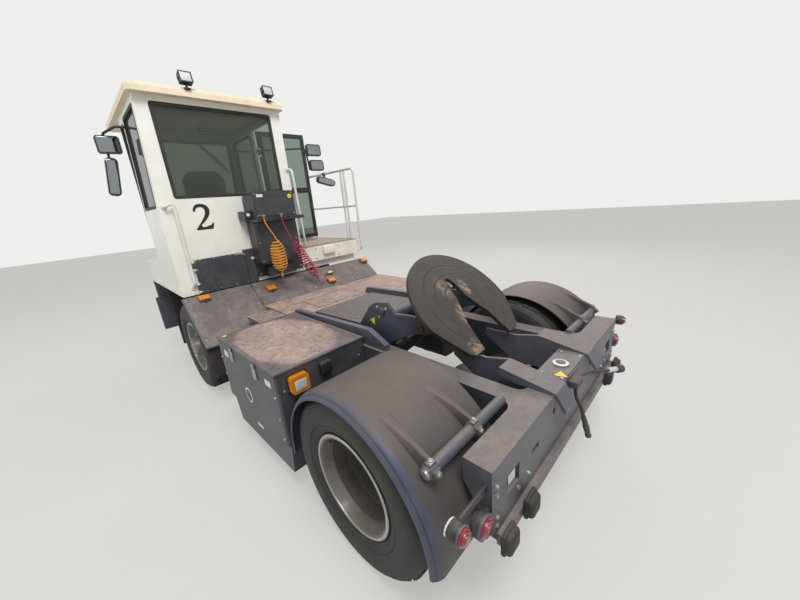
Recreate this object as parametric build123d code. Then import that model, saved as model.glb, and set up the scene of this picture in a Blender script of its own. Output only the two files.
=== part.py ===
"""Terminal tractor for port and ferry yards.

Frame: millimetres, +X to the front, +Y to the left, +Z up. The origin is on the
ground, half-way along the tractor and on its centre line.
"""

from build123d import *
from math import atan2, cos, degrees, hypot, pi, radians, sin, sqrt, tan
import os

os.makedirs("parts", exist_ok=True)

# Driving sizes of the whole machine
wheelbase = 3000
rear_overhang = 800
front_overhang = 1600
body_half_width = 1240
fit_gap = 0.3
bearing_gap = 0.05
far = 6000

rear_axle_x = -(wheelbase + front_overhang - rear_overhang) / 2
front_axle_x = rear_axle_x + wheelbase
front_end_x = front_axle_x + front_overhang
rear_end_x = rear_axle_x - rear_overhang

# Wheels
tyre_r = 522
tyre_w = 296
tyre_shoulder = 46
rim_r = 284
rim_flange_r = 298
rim_wall = 12
rim_half = 106
rear_outer_tyre_y = 1072
twin_spacing = 336
front_tyre_y = 1052
wheel_disc_t = 14

# Main frame
rail_inner_y = 395
rail_w = 125
rail_top = 915
rail_h = 285
rail_outer_y = rail_inner_y + rail_w
rail_bottom = rail_top - rail_h
coaming_y = 450
coaming_w = 45

# Rear frame head
wing_half_width = 988
wing_depth = 138
wing_plate = 18
rear_plate_t = 20
rear_plate_bottom = 490
rear_face_x = rear_axle_x - 723
wing_front_x = rear_face_x + wing_depth

# Deck and slope
deck_t = 20
deck_top = rail_top + deck_t
deck_rear_x = rear_axle_x + 1610
deck_right_rear_x = rear_axle_x + 640
slope_t = 10
slope_top_z = 1165
slope_foot_z = 745
slope_run = 520
slope_angle = atan2(slope_top_z - slope_foot_z, slope_run)

# Cab
cab_rear_x = front_axle_x - 230
cab_length = 1650
cab_front_x = cab_rear_x + cab_length
cab_left_y = 1205
cab_right_y = -260
cab_bottom = 1170
cab_top = 3100
cab_wall = 40
cab_lean = 55
cab_taper_x = cab_rear_x + 740
cab_taper = 185
cab_skirt_top = 1470
belt_z = 1900
screen_lean = 90
floor_top = cab_bottom + cab_wall
glass_t = 6
slope_top_x = cab_rear_x - 50


def block(x0, x1, y0, y1, z0, z1):
    """A block between two corners."""
    centre = Pos((x0 + x1) / 2, (y0 + y1) / 2, (z0 + z1) / 2)
    return centre * Box(abs(x1 - x0), abs(y1 - y0), abs(z1 - z0))


def side_plate(points, y0, y1):
    """A plate whose outline is given in X and Z, from y0 to y1."""
    outline = Polyline(*[(x, y0, z) for x, z in points], close=True)
    return extrude(make_face(outline), amount=y1 - y0, dir=(0, 1, 0))


def flat_plate(points, z0, z1):
    """A plate whose outline is given in X and Y, from z0 to z1."""
    outline = Polyline(*[(x, y, z0) for x, y in points], close=True)
    return extrude(make_face(outline), amount=z1 - z0, dir=(0, 0, 1))


def cross_plate(points, x0, x1):
    """A plate whose outline is given in Y and Z, from x0 to x1."""
    outline = Polyline(*[(x0, y, z) for y, z in points], close=True)
    return extrude(make_face(outline), amount=x1 - x0, dir=(1, 0, 0))


def bar_x(y, z, r, x0, x1):
    """A round bar along X."""
    return Pos((x0 + x1) / 2, y, z) * Rot(0, 90, 0) * Cylinder(r, abs(x1 - x0))


def bar_y(x, z, r, y0, y1):
    """A round bar along Y."""
    return Pos(x, (y0 + y1) / 2, z) * Rot(90, 0, 0) * Cylinder(r, abs(y1 - y0))


def bar_z(x, y, r, z0, z1):
    """A round bar along Z."""
    return Pos(x, y, (z0 + z1) / 2) * Cylinder(r, abs(z1 - z0))


def tube(points, r, bend):
    """A round rail through the points, with bends of one radius."""
    path = FilletPolyline(*points, radius=bend)
    start = Plane(origin=path @ 0, z_dir=path % 0)
    return sweep(start * Circle(r), path=path)


def rounded(shape, axis, r):
    """Round the edges of a block that run along one axis."""
    return fillet(shape.edges().filter_by(axis), r)


def mirrored(shape):
    """The same piece on the other side of the centre line."""
    return mirror(shape, about=Plane.XZ)


def joined(pieces):
    """All pieces fused to one."""
    whole = pieces[0]
    for piece in pieces[1:]:
        whole = whole + piece
    return whole


def save(name, *solids):
    """Write one node of one or more solids."""
    shape = solids[0] if len(solids) == 1 else Compound(children=list(solids))
    export_step(shape, f"parts/{name}.step")


# Wheels


def turned(points, centre):
    """A ring turned about the left end of an axle; points hold a radius and a distance outwards."""
    section = make_face(Polyline(*[(r, 0, w) for r, w in points], close=True))
    return Pos(*centre) * Rot(-90, 0, 0) * revolve(section, Axis.Z)


def tyre(centre):
    """A tyre with its beads beside the rim flanges and sloping shoulders."""
    half = tyre_w / 2
    bead = rim_half - fit_gap
    side = [
        (rim_r + fit_gap, bead), (rim_flange_r + 2, bead), (rim_flange_r + 30, half - 22),
        (rim_flange_r + 90, half), (tyre_r - tyre_shoulder, half - 4),
        (tyre_r - 14, half - 24), (tyre_r, half - tyre_shoulder - 4),
    ]
    other = [(r, -w) for r, w in reversed(side)]
    return turned(side + other, centre)


def rim(centre, disc_offset, hole_ring, hole_r, hole_count):
    """A left steel rim with its disc; disc_offset runs outwards from its centre."""
    seat = rim_r - rim_wall
    well = seat - 22
    barrel = turned(
        [
            (rim_flange_r, rim_half + 14), (rim_flange_r, rim_half), (rim_r, rim_half),
            (rim_r - 4, rim_half - 30), (rim_r - 4, 30 - rim_half), (rim_r, -rim_half),
            (rim_flange_r, -rim_half), (rim_flange_r, -rim_half - 14),
            (seat, -rim_half - 14), (well, 46 - rim_half), (well, rim_half - 46),
            (seat, rim_half + 14),
        ],
        centre,
    )
    y = centre[1] + disc_offset
    half = wheel_disc_t / 2
    disc_r = well + 1
    if abs(disc_offset) > rim_half:
        reach = rim_half - 46 if disc_offset > 0 else 46 - rim_half
        disc_r = well - 14
        barrel = barrel + turned(
            [
                (well + 1, 0.6 * reach), (well + 1, reach), (disc_r, disc_offset),
                (disc_r - 14, disc_offset), (well - 13, 0.6 * reach),
            ],
            centre,
        )
    disc = bar_y(centre[0], centre[2], disc_r, y - half, y + half)
    for k in range(hole_count):
        a = 2 * pi * (k + 0.5) / hole_count
        x = centre[0] + hole_ring * cos(a)
        z = centre[2] + hole_ring * sin(a)
        disc = disc - bar_y(x, z, hole_r, y - 3 * half, y + 3 * half)
    return barrel + disc


def save_pair(name, *left):
    """Write a left node and its mirror image on the right."""
    save(f"{name}_left", *left)
    save(f"{name}_right", *[mirrored(solid) for solid in left])


twin_mid_y = rear_outer_tyre_y - twin_spacing / 2
disc_in = twin_spacing / 2 - wheel_disc_t / 2
rear_hub_profile = [
    (0, -14), (150, -14), (150, 14), (132, 14), (132, 60), (96, 74), (96, 128), (80, 140), (0, 140),
]
outer = (rear_axle_x, rear_outer_tyre_y, tyre_r)
inner = (rear_axle_x, rear_outer_tyre_y - twin_spacing, tyre_r)
twin_discs = rim(outer, -disc_in, 212, 26, 8) + rim(inner, disc_in, 212, 26, 8)
save_pair("rear_tyres", tyre(outer), tyre(inner))
save_pair("rear_rims", twin_discs + turned(rear_hub_profile, (rear_axle_x, twin_mid_y, tyre_r)))

kingpin_y = 850
kingpin_r = 24
knuckle_half = 95
fork_t = 28
spindle_r = 42
front_disc_offset = 62
front_disc_y = front_tyre_y + front_disc_offset
front_hub_profile = [
    (0, -150), (118, -150), (118, -8), (150, -8), (150, 22), (128, 22), (112, 86),
    (92, 98), (0, 98),
]
front_centre = (front_axle_x, front_tyre_y, tyre_r)
front_hub = turned(front_hub_profile, (front_axle_x, front_disc_y, tyre_r))
spindle_bore = bar_y(
    front_axle_x, tyre_r, spindle_r + bearing_gap, front_disc_y - 160, front_disc_y + 40)
save_pair("front_tyre", tyre(front_centre))
save_pair("front_rim", (rim(front_centre, front_disc_offset, 214, 19, 10) + front_hub) - spindle_bore)


def knuckle():
    """The left steering knuckle with its spindle, its arm and the kingpin bore."""
    body = block(
        front_axle_x - 60, front_axle_x + 60, kingpin_y - 45, kingpin_y + 45,
        tyre_r - knuckle_half + fork_t, tyre_r + knuckle_half - fork_t,
    )
    spindle = bar_y(front_axle_x, tyre_r, spindle_r, kingpin_y + 40, front_disc_y + 30)
    arm = block(
        front_axle_x - 230, front_axle_x - 55, kingpin_y - 45, kingpin_y - 15, tyre_r - 20, tyre_r + 15)
    eye = bar_z(front_axle_x, kingpin_y, kingpin_r + bearing_gap, 0, 2 * tyre_r)
    return (body + spindle + arm) - eye


save_pair("front_knuckle", knuckle())

# Axles
spring_y = rail_inner_y + rail_w / 2
spring_half_w = 38
spring_half_l = 480
spring_seat_z = tyre_r + 50
spring_outline = [
    (-spring_half_l, rail_bottom), (-spring_half_l, rail_bottom - 22), (-90, spring_seat_z - 6),
    (90, spring_seat_z - 6), (spring_half_l, rail_bottom - 22), (spring_half_l, rail_bottom),
    (spring_half_l - 60, rail_bottom), (70, spring_seat_z + 44), (-70, spring_seat_z + 44),
    (60 - spring_half_l, rail_bottom),
]


def front_axle():
    """The front beam with its forked ends, kingpins and leaf springs."""
    x0 = front_axle_x - 55
    x1 = front_axle_x + 55
    web_y = kingpin_y - 115
    pieces = [block(x0, x1, -web_y, web_y, tyre_r - 70, tyre_r + 50)]
    low = tyre_r - knuckle_half
    high = tyre_r + knuckle_half
    for side in (1, -1):
        for z0, z1 in ((low, low + fork_t - fit_gap), (high - fork_t + fit_gap, high)):
            pieces.append(block(x0, x1, side * (web_y - 10), side * (kingpin_y + 40), z0, z1))
        pieces.append(block(x0, x1, side * (web_y - 35), side * web_y, low, high))
        pieces.append(bar_z(front_axle_x, side * kingpin_y, kingpin_r, low, high))
        outline = [(front_axle_x + x, z) for x, z in spring_outline]
        pieces.append(side_plate(outline, side * spring_y - spring_half_w, side * spring_y + spring_half_w))
    return joined(pieces)


save("front_axle", front_axle())

axle_tube_r = 85
diff_r = 190
rear_drum_y = twin_mid_y - wheel_disc_t
diff = Pos(rear_axle_x, 0, tyre_r) * Sphere(diff_r)
diff = diff & block(rear_axle_x - 150, rear_axle_x + 200, -200, 200, 0, 2 * tyre_r)
saddles = [
    block(rear_axle_x - 110, rear_axle_x + 110, side * rail_inner_y, side * rail_outer_y, tyre_r - 60, rail_bottom)
    for side in (1, -1)
]
axle_half = rear_drum_y - fit_gap
save("rear_axle", joined([bar_y(rear_axle_x, tyre_r, axle_tube_r, -axle_half, axle_half), diff] + saddles))

# Main frame: rails, coamings, cross members, cab posts and engine mounts
boom_pivot = (rear_axle_x + 1500, 830)
boom_pin_r = 35
cylinder_foot = (rear_axle_x + 1050, 430)
cylinder_y = 250
cylinder_pin_r = 25
engine = dict(x0=front_axle_x + 250, x1=front_axle_x + 1150, half=330, z0=660, z1=1120)
cross_xs = (rear_axle_x + 1690, rear_axle_x + 2350, front_end_x - 200)
post_xs = (cab_rear_x + 70, cab_front_x - 180)


def main_frame():
    """The ladder frame with all that is welded to it ahead of the rear head."""
    pieces = []
    for side in (1, -1):
        pieces.append(block(
            wing_front_x, front_end_x - 120, side * rail_inner_y, side * rail_outer_y, rail_bottom, rail_top))
        pieces.append(side_plate(
            [
                (rear_axle_x + 405, rail_top), (rear_axle_x + 405, 958), (rear_axle_x + 588, 1045),
                (rear_axle_x + 1720, 1005), (rear_axle_x + 1760, 960), (rear_axle_x + 1760, rail_top),
            ],
            side * coaming_y, side * (coaming_y + coaming_w),
        ))
        for x in post_xs:
            pieces.append(block(
                x - 45, x + 45, side * (rail_inner_y + 15), side * (rail_outer_y - 15), rail_top, cab_bottom))
        for x in (engine["x0"] + 160, engine["x1"] - 160):
            pieces.append(block(x - 50, x + 50, side * engine["half"], side * rail_inner_y, 700, 780))
        pieces.append(block(
            cylinder_foot[0] + 60, cylinder_foot[0] + 140,
            side * (rail_inner_y - 12), side * rail_inner_y, 380, rail_top - 20,
        ))
    for x in cross_xs:
        pieces.append(block(x - 40, x + 40, -rail_inner_y, rail_inner_y, rail_bottom + 20, rail_top - 20))
    pieces.append(bar_y(boom_pivot[0], boom_pivot[1], boom_pin_r, -rail_inner_y, rail_inner_y))
    pieces.append(block(
        cylinder_foot[0] + 60, cylinder_foot[0] + 140, -rail_inner_y, rail_inner_y, 380, 520))
    for side in (1, -1):
        for y0 in (side * cylinder_y - 60, side * cylinder_y + 40):
            pieces.append(side_plate(
                [
                    (cylinder_foot[0] - 40, cylinder_foot[1] - 30), (cylinder_foot[0] + 60, 380),
                    (cylinder_foot[0] + 60, 470), (cylinder_foot[0] - 40, cylinder_foot[1] + 30),
                ],
                y0, y0 + 20,
            ))
        pieces.append(bar_y(
            cylinder_foot[0], cylinder_foot[1], cylinder_pin_r, side * cylinder_y - 60, side * cylinder_y + 60))
    return joined(pieces)


save("main_frame", main_frame())

# Rear frame head
corner_r = 75
well_corner_r = 60
hook_slots = ((740, 860, 690, 790), (520, 600, 715, 755))


def corner_web(x, y, dx, dy, r, z0, z1):
    """The metal left in an inner corner by a round cut, at one corner point."""
    web = block(x, x + dx * r, y, y + dy * r, z0, z1)
    return web - bar_z(x + dx * r, y + dy * r, r, z0 - 1, z1 + 1)


def rear_frame():
    """The wide rear head: top plate, rear plate, end plates, gussets and lower bar."""
    plate_z = (rail_top - wing_plate, rail_top)
    body = block(rear_face_x, wing_front_x, -wing_half_width, wing_half_width, *plate_z)
    body = body + cross_plate(
        [
            (-wing_half_width, rail_top), (wing_half_width, rail_top),
            (wing_half_width, rear_plate_bottom + 90), (wing_half_width - 60, rear_plate_bottom),
            (60 - wing_half_width, rear_plate_bottom), (-wing_half_width, rear_plate_bottom + 90),
        ],
        rear_face_x, rear_face_x + rear_plate_t,
    )
    for side in (1, -1):
        body = body + side_plate(
            [
                (rear_face_x, rear_plate_bottom + 90), (rear_face_x, rail_top),
                (wing_front_x, rail_top), (wing_front_x, rail_top - 110),
            ],
            side * (wing_half_width - wing_plate), side * wing_half_width,
        )
        body = body + side_plate(
            [
                (rear_face_x, rear_plate_bottom + 60), (rear_face_x, rail_top),
                (wing_front_x, rail_top), (wing_front_x, rail_bottom),
            ],
            side * rail_inner_y, side * rail_outer_y,
        )
        body = body + corner_web(wing_front_x, side * rail_outer_y, 1, side, corner_r, *plate_z)
        body = body + corner_web(wing_front_x, side * rail_inner_y, 1, -side, well_corner_r, *plate_z)
        for y0, y1, z0, z1 in hook_slots:
            body = body - block(rear_face_x - 5, rear_face_x + 60, side * y0, side * y1, z0, z1)
    lower = block(rear_face_x - 30, rear_face_x, 40 - wing_half_width, wing_half_width - 40, 500, 560)
    return body + lower


rear_head = rear_frame()
save("rear_frame", rear_head)

buffer_w = 110
buffer_ys = (-1002 + 80, -761 + 60, 761 - 60, 1002 - 80)
buffers = [
    rounded(block(rear_end_x, rear_face_x - 30, y - buffer_w / 2, y + buffer_w / 2, 480, 600), Axis.X, 12)
    for y in buffer_ys
]
save("rear_buffers", *buffers)

# Guide ramps with their webs, and the plate between them
ramp_inner_y = 203
ramp_outer_y = 345
ramp_t = 20
ramp_profile = [(-412, 986), (-735, 932), (-790, 845)]
web_t = 20


def guide_ramps():
    """Two sloping guide plates on webs, with the plate between them."""
    whole = block(rear_face_x + 6, rear_axle_x - 560, -ramp_inner_y, ramp_inner_y, rail_top, rail_top + 10)
    plug = bar_z(rear_axle_x - 640, 0, 45, rail_top, rail_top + 18)
    whole = whole + plug
    for side in (1, -1):
        upper = [(rear_axle_x + x, z) for x, z in ramp_profile]
        tip = (upper[2][0] + 4, upper[2][1] - ramp_t)
        under = [(rear_face_x - 1, rail_top - 3), (rear_face_x - 1, rail_top), (rear_face_x, rail_top)]
        plate = side_plate(
            upper + [tip] + under + [(upper[0][0], upper[0][1] - ramp_t)],
            side * ramp_inner_y, side * ramp_outer_y,
        )
        web = side_plate(
            [
                (rear_axle_x - 5, 905), (rear_axle_x - 20, 950), (rear_axle_x - 260, 950),
                (rear_axle_x - 412, 984), (wing_front_x, 955), (wing_front_x, 700),
                (rear_axle_x - 463, 745), (rear_axle_x - 219, 760),
            ],
            side * ramp_inner_y, side * (ramp_inner_y + web_t),
        )
        outer = side_plate(
            [
                (rear_axle_x - 412, 930), (rear_axle_x - 412, 980), (wing_front_x, 953),
                (wing_front_x, rail_top), (rear_axle_x - 515, rail_top),
            ],
            side * (ramp_outer_y - web_t), side * ramp_outer_y,
        )
        head = side_plate(
            [(rear_face_x, rail_top), (rear_face_x, 925), (wing_front_x, 953), (wing_front_x, rail_top)],
            side * ramp_inner_y, side * ramp_outer_y,
        )
        whole = whole + plate + web + outer + head
    return whole


save("guide_ramps", guide_ramps())

# Rear mudguards over the twin tyres, with their ribs and cross tubes
guard_x = rear_axle_x - 40
guard_z = 505
guard_r = 592
guard_t = 8
guard_lip_r = 552
guard_inner_y = 655
guard_outer_y = 1250
guard_edge = 55
rib_rows = ((775, 905, 114, 137), (1050, 1160, 113, 128))
rib_h = 26


def about_guard(shape, side):
    """Stand a shape turned about Z up on one guard's centre, mirrored for the right."""
    placed = Pos(guard_x, 0, guard_z) * Rot(90, 0, 0) * shape
    placed = mirrored(placed)
    return placed if side > 0 else mirrored(placed)


def guard_sector(points):
    """A closed outline in radius and width, turned from one end of the guard to the other."""
    section = make_face(Polyline(*[(a, 0, b) for a, b in points], close=True))
    return Rot(0, 0, -3) * revolve(section, Axis.Z, revolution_arc=184)


def mudguard(side):
    """A half-round guard with a rounded outer edge, a lip and two raised wedge ribs."""
    inner = guard_r - guard_t
    edge = guard_outer_y - guard_edge
    shell = guard_sector([
        (guard_r, guard_inner_y), (guard_r, edge), (guard_r - 6, edge + 24),
        (guard_r - 22, guard_outer_y - 8), (guard_lip_r + 10, guard_outer_y),
        (guard_lip_r, guard_outer_y), (guard_lip_r, guard_outer_y - guard_t),
        (guard_lip_r + 8, guard_outer_y - guard_t), (guard_r - 28, guard_outer_y - 18),
        (inner - 5, edge + 16), (inner, edge), (inner, guard_inner_y),
    ])
    for y0, y1, a0, a1 in rib_rows:
        section = Polyline(
            (inner + 2, 0, y0), (guard_r + rib_h, 0, y0 + 18), (guard_r + rib_h, 0, y0 + 46),
            (inner + 2, 0, y1), close=True,
        )
        shell = shell + Rot(0, 0, a0) * revolve(make_face(section), Axis.Z, revolution_arc=a1 - a0)
    return about_guard(shell, side)


tube_r = 30
tube_angle = radians(140)
tube_reach = guard_r + tube_r + fit_gap
tube_x = guard_x + tube_reach * cos(tube_angle)
tube_z = guard_z + tube_reach * sin(tube_angle)
clamp_ys = (700, 960)


def guard_tube(side):
    """The tube that holds a guard, with two clamp collars and its foot on the rail."""
    bar = bar_y(tube_x, tube_z, tube_r, side * rail_outer_y, side * 1150)
    clear = bar_y(guard_x, guard_z, guard_r + fit_gap, side * 600, side * 1200)
    for y in clamp_ys:
        bar = bar + (bar_y(tube_x, tube_z, tube_r + 9, side * (y - 20), side * (y + 20)) - clear)
    return bar - rear_head


save("rear_mudguards", mudguard(1), mudguard(-1))
save("mudguard_tubes", guard_tube(1), guard_tube(-1))

# Lift boom
boom_outer_y = 375
boom_t = 25
boom_inner_y = boom_outer_y - boom_t
fifth_pivot = (rear_axle_x + 127, 1131)
fifth_pin_r = 25
eye_pin = (rear_axle_x + 420, 980)
eye_pin_r = 18
eye_bore_r = 29
boom_outline = [
    (1440, 760), (1550, 790), (1570, 840), (1560, 930), (1530, 985), (830, 1012), (690, 1178),
    (610, 1228), (487, 1244), (406, 1171), (268, 1184), (100, 1186), (66, 1145), (72, 1100),
    (95, 1085), (255, 1042), (468, 925), (760, 860), (1330, 770),
]


def lift_boom():
    """Two side plates, joined by a top plate and cross tubes."""
    x = rear_axle_x
    outline = [(x + a, z) for a, z in boom_outline]
    top = block(x + 835, x + 1548, -boom_outer_y, boom_outer_y, 960, 1030)
    cover = side_plate(
        [(x + 800, 996), (x + 800, 1013), (x + 1530, 985), (x + 1548, 985), (x + 1548, 970), (x + 1530, 970)],
        -far, far,
    )
    pieces = [
        side_plate(outline, boom_inner_y, boom_outer_y),
        side_plate(outline, -boom_outer_y, -boom_inner_y),
        top & cover,
        bar_y(x + 560, 1080, 60, -boom_inner_y, boom_inner_y),
        bar_y(boom_pivot[0], boom_pivot[1], 58, -boom_inner_y, boom_inner_y),
    ]
    for side in (1, -1):
        for offset in (-55, 40):
            pieces.append(side_plate(
                [(x + 370, 960), (x + 420, 935), (x + 470, 960), (x + 600, 1060), (x + 540, 1110)],
                side * cylinder_y + offset, side * cylinder_y + offset + 15,
            ))
        pieces.append(bar_y(
            eye_pin[0], eye_pin[1], eye_pin_r, side * cylinder_y - 55, side * cylinder_y + 55))
        pieces.append(bar_y(x + 538, 1169, 22, side * (boom_outer_y - 1), side * (boom_outer_y + 14)))
    boom = joined(pieces)
    for pin, r in ((boom_pivot, boom_pin_r), (fifth_pivot, fifth_pin_r)):
        boom = boom - bar_y(pin[0], pin[1], r + bearing_gap, -rail_inner_y, rail_inner_y)
    return boom


save("lift_boom", lift_boom())

# Fifth-wheel plate, drawn level about its pin and then tilted
fifth_tilt = 42.5
fifth_r = 470
fifth_back = 11
fifth_top = 130
fifth_t = 28
throat_front = 192
throat_half = 42
tip_back = 361
tip_inner_y = 178
tip_outer_y = 317
jaw_r = 26
shoulder_x = -100


def fifth_wheel():
    """A round-fronted coupling plate with two rear horns and a kingpin throat."""
    low = fifth_top - fifth_t
    reach = sqrt(fifth_r ** 2 - (shoulder_x + fifth_back) ** 2)
    disc = Pos(-fifth_back, 0, fifth_top - fifth_t / 2) * Cylinder(fifth_r, fifth_t)
    disc = disc & block(shoulder_x, fifth_r + 1, -far, far, 0, 400)
    plate = disc + flat_plate(
        [
            (shoulder_x, -reach), (30 - tip_back, -tip_outer_y - 12), (-tip_back, 30 - tip_outer_y),
            (-tip_back, tip_outer_y - 30), (30 - tip_back, tip_outer_y + 12), (shoulder_x, reach),
        ],
        low, fifth_top,
    )
    throat = flat_plate(
        [
            (throat_front, -jaw_r), (throat_front, jaw_r), (throat_front - 40, throat_half),
            (40, throat_half + 12), (-60, 96), (-150, 140), (-tip_back - 1, tip_inner_y),
            (-tip_back - 1, -tip_inner_y), (-150, -140), (-60, -96), (40, -throat_half - 12),
            (throat_front - 40, -throat_half),
        ],
        -far, far,
    )
    plate = plate - throat - Pos(throat_front, 0, 200) * Cylinder(jaw_r, 500)
    pieces = [plate]
    for side in (1, -1):
        pieces.append(side_plate(
            [(-50, -14), (-30, -38), (30, -38), (50, -14), (120, low + 1), (-110, low + 1)],
            side * (boom_outer_y + 6), side * (boom_outer_y + 28),
        ))
        pieces.append(bar_y(0, 0, fifth_pin_r, side * (boom_inner_y + 1), side * (boom_outer_y + 36)))
        pieces.append(side_plate(
            [(40 - tip_back, low + 1), (70 - tip_back, 82), (120, 62), (300, low + 1)],
            side * 215, side * 235,
        ))
    for x in (60, 150):
        for side in (1, -1):
            pieces.append(block(x - 10, x + 10, side * 62, side * 220, 66, low + 1))
    return Pos(fifth_pivot[0], 0, fifth_pivot[1]) * Rot(0, -fifth_tilt, 0) * joined(pieces)


save("fifth_wheel_plate", fifth_wheel())

# Lift cylinders
cyl_len = hypot(eye_pin[0] - cylinder_foot[0], eye_pin[1] - cylinder_foot[1])
cyl_angle = degrees(atan2(eye_pin[1] - cylinder_foot[1], eye_pin[0] - cylinder_foot[0]))
barrel_end = 640
barrel_r = 55
rod_r = 30


def along_cylinder(shape, y):
    """Lay a shape drawn along +X from the foot pin along the cylinder."""
    return Pos(cylinder_foot[0], y, cylinder_foot[1]) * Rot(0, -cyl_angle, 0) * shape


def barrel(y):
    """The cylinder barrel with its foot eye, its gland and a bore for the rod."""
    body = bar_x(0, 0, barrel_r, 85, barrel_end) + bar_x(0, 0, barrel_r + 7, barrel_end - 50, barrel_end)
    body = body + bar_y(0, 0, 48, -34, 34) + block(0, 90, -30, 30, -35, 35)
    body = body - bar_y(0, 0, cylinder_pin_r + bearing_gap, -60, 60)
    body = body - bar_x(0, 0, rod_r + bearing_gap, 110, barrel_end + 10)
    return along_cylinder(body, y)


def rod(y):
    """The cylinder rod with its open eye."""
    body = bar_x(0, 0, rod_r, 330, cyl_len - 30) + bar_y(cyl_len, 0, 46, -34, 34)
    return along_cylinder(body - bar_y(cyl_len, 0, eye_bore_r, -60, 60), y)


save("lift_barrels", barrel(cylinder_y), barrel(-cylinder_y))
save("lift_rods", rod(cylinder_y), rod(-cylinder_y))

# Deck, slope and step


def slope_x(z):
    """X of the slope's upper face at a height."""
    return slope_top_x - (slope_top_z - z) / tan(slope_angle)


def slope_plate(y0, y1, foot_z):
    """A sloping sheet between two heights."""
    drop = slope_t / cos(slope_angle)
    return side_plate(
        [
            (slope_top_x, slope_top_z), (slope_top_x, slope_top_z - drop),
            (slope_x(foot_z), foot_z - drop), (slope_x(foot_z), foot_z),
        ],
        y0, y1,
    )


deck_front_x = slope_x(deck_top) + 6
right_edge = -body_half_width
deck = joined([
    block(deck_rear_x, deck_front_x, 4 - coaming_y, coaming_y - 4, rail_top, deck_top),
    block(rear_axle_x + 1764, deck_front_x, -rail_outer_y, rail_outer_y, rail_top, deck_top),
    slope_plate(right_edge, rail_outer_y, deck_top - 4),
])
right_deck = block(deck_right_rear_x, deck_front_x - 30, right_edge, -rail_outer_y - 4, rail_top - 5, deck_top - 5)
left_slope = slope_plate(rail_outer_y + fit_gap, body_half_width, slope_foot_z)
side_step = block(rear_axle_x + 1930, rear_axle_x + 2260, rail_outer_y, 785, 885, 920)
save("deck_plates", deck, right_deck, left_slope, side_step)

# Side boxes
box_front_x = rear_axle_x + 1703
box_rear_x = rear_axle_x + 623
box_top = 992
box_skirt_top = 450
box_bottom = 190
side_box = joined([
    rounded(block(box_rear_x, box_front_x, rail_outer_y, body_half_width, box_skirt_top, box_top - 14), Axis.Z, 18),
    block(box_rear_x - 3, box_front_x + 3, rail_outer_y, body_half_width + 3, box_top - 14, box_top),
    side_plate(
        [
            (box_rear_x + 6, box_skirt_top), (box_rear_x + 60, box_bottom),
            (box_front_x - 60, box_bottom), (box_front_x - 6, box_skirt_top),
        ],
        rail_outer_y + 60, body_half_width - 22,
    ),
])
tank_x = (deck_right_rear_x + 30, deck_front_x - 450)
tank = rounded(block(*tank_x, right_edge + 12, -rail_outer_y, 340, rail_top - 5), Axis.X, 70)
for x in (tank_x[0] + 260, tank_x[1] - 260):
    band = rounded(block(x - 30, x + 30, right_edge + 6, -rail_outer_y, 334, rail_top - 5), Axis.X, 74)
    tank = tank + band
save("side_boxes", side_box, tank)
save("engine_block", block(engine["x0"], engine["x1"], -engine["half"], engine["half"], engine["z0"], engine["z1"]))

# Rubber flaps behind and ahead of the front wheels
flap_x = slope_x(slope_foot_z) + 40
flap_t = 8
left_drop = slope_t / cos(slope_angle)
flap_top = slope_top_z - (slope_top_x - flap_x) * tan(slope_angle) - left_drop
left_flap = side_plate(
    [
        (flap_x, 400), (flap_x, flap_top), (flap_x + flap_t, flap_top + flap_t * tan(slope_angle)),
        (flap_x + flap_t, 400),
    ],
    660, body_half_width - 10,
)
right_flap = block(flap_x, flap_x + flap_t, 10 - body_half_width, -660, 400, rail_top - 5)
front_flaps = [
    block(front_axle_x + 640, front_axle_x + 640 + flap_t, side * 660, side * (cab_left_y - 10), 400, cab_bottom)
    for side in (1, -1)
]
save("wheel_flaps", left_flap, right_flap, *front_flaps)

# Cab shell


def cab_prism(inset):
    """The cab's outer form, or its inner room when inset by the wall."""
    left = cab_left_y - inset
    right = cab_right_y + inset
    rear = cab_rear_x + inset
    front = cab_front_x - inset
    section = cross_plate(
        [(right, cab_bottom), (left, cab_bottom), (left, belt_z), (left - cab_lean, cab_top), (right, cab_top)],
        rear, front,
    )
    profile = side_plate(
        [
            (rear, cab_bottom), (front, cab_bottom), (front, belt_z),
            (front - screen_lean, cab_top), (rear, cab_top),
        ],
        cab_right_y - 10, cab_left_y + 10,
    )
    form = section & profile
    plan = [
        (cab_taper_x, left + 1), (cab_taper_x, left), (cab_front_x, left - cab_taper),
        (cab_front_x + 50, left - cab_taper), (cab_front_x + 50, left + 1),
    ]
    return form - flat_plate(plan, cab_skirt_top, cab_top + 10)


outer_form = cab_prism(0)
inner_form = cab_prism(cab_wall)
shell = (outer_form - inner_form) & block(-far, far, -far, far, floor_top, far)
front_zone_x = cab_front_x - screen_lean - cab_wall
rear_zone = block(cab_rear_x - 1, cab_rear_x + cab_wall, -far, far, 0, far)
front_zone = block(front_zone_x, cab_front_x + 1, -far, far, 0, far)
mid_zone = block(cab_rear_x + cab_wall, front_zone_x, -far, far, 0, far)
left_half = block(-far, far, 400, far, 0, far)
right_half = block(-far, far, -far, 400, 0, far)

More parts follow.
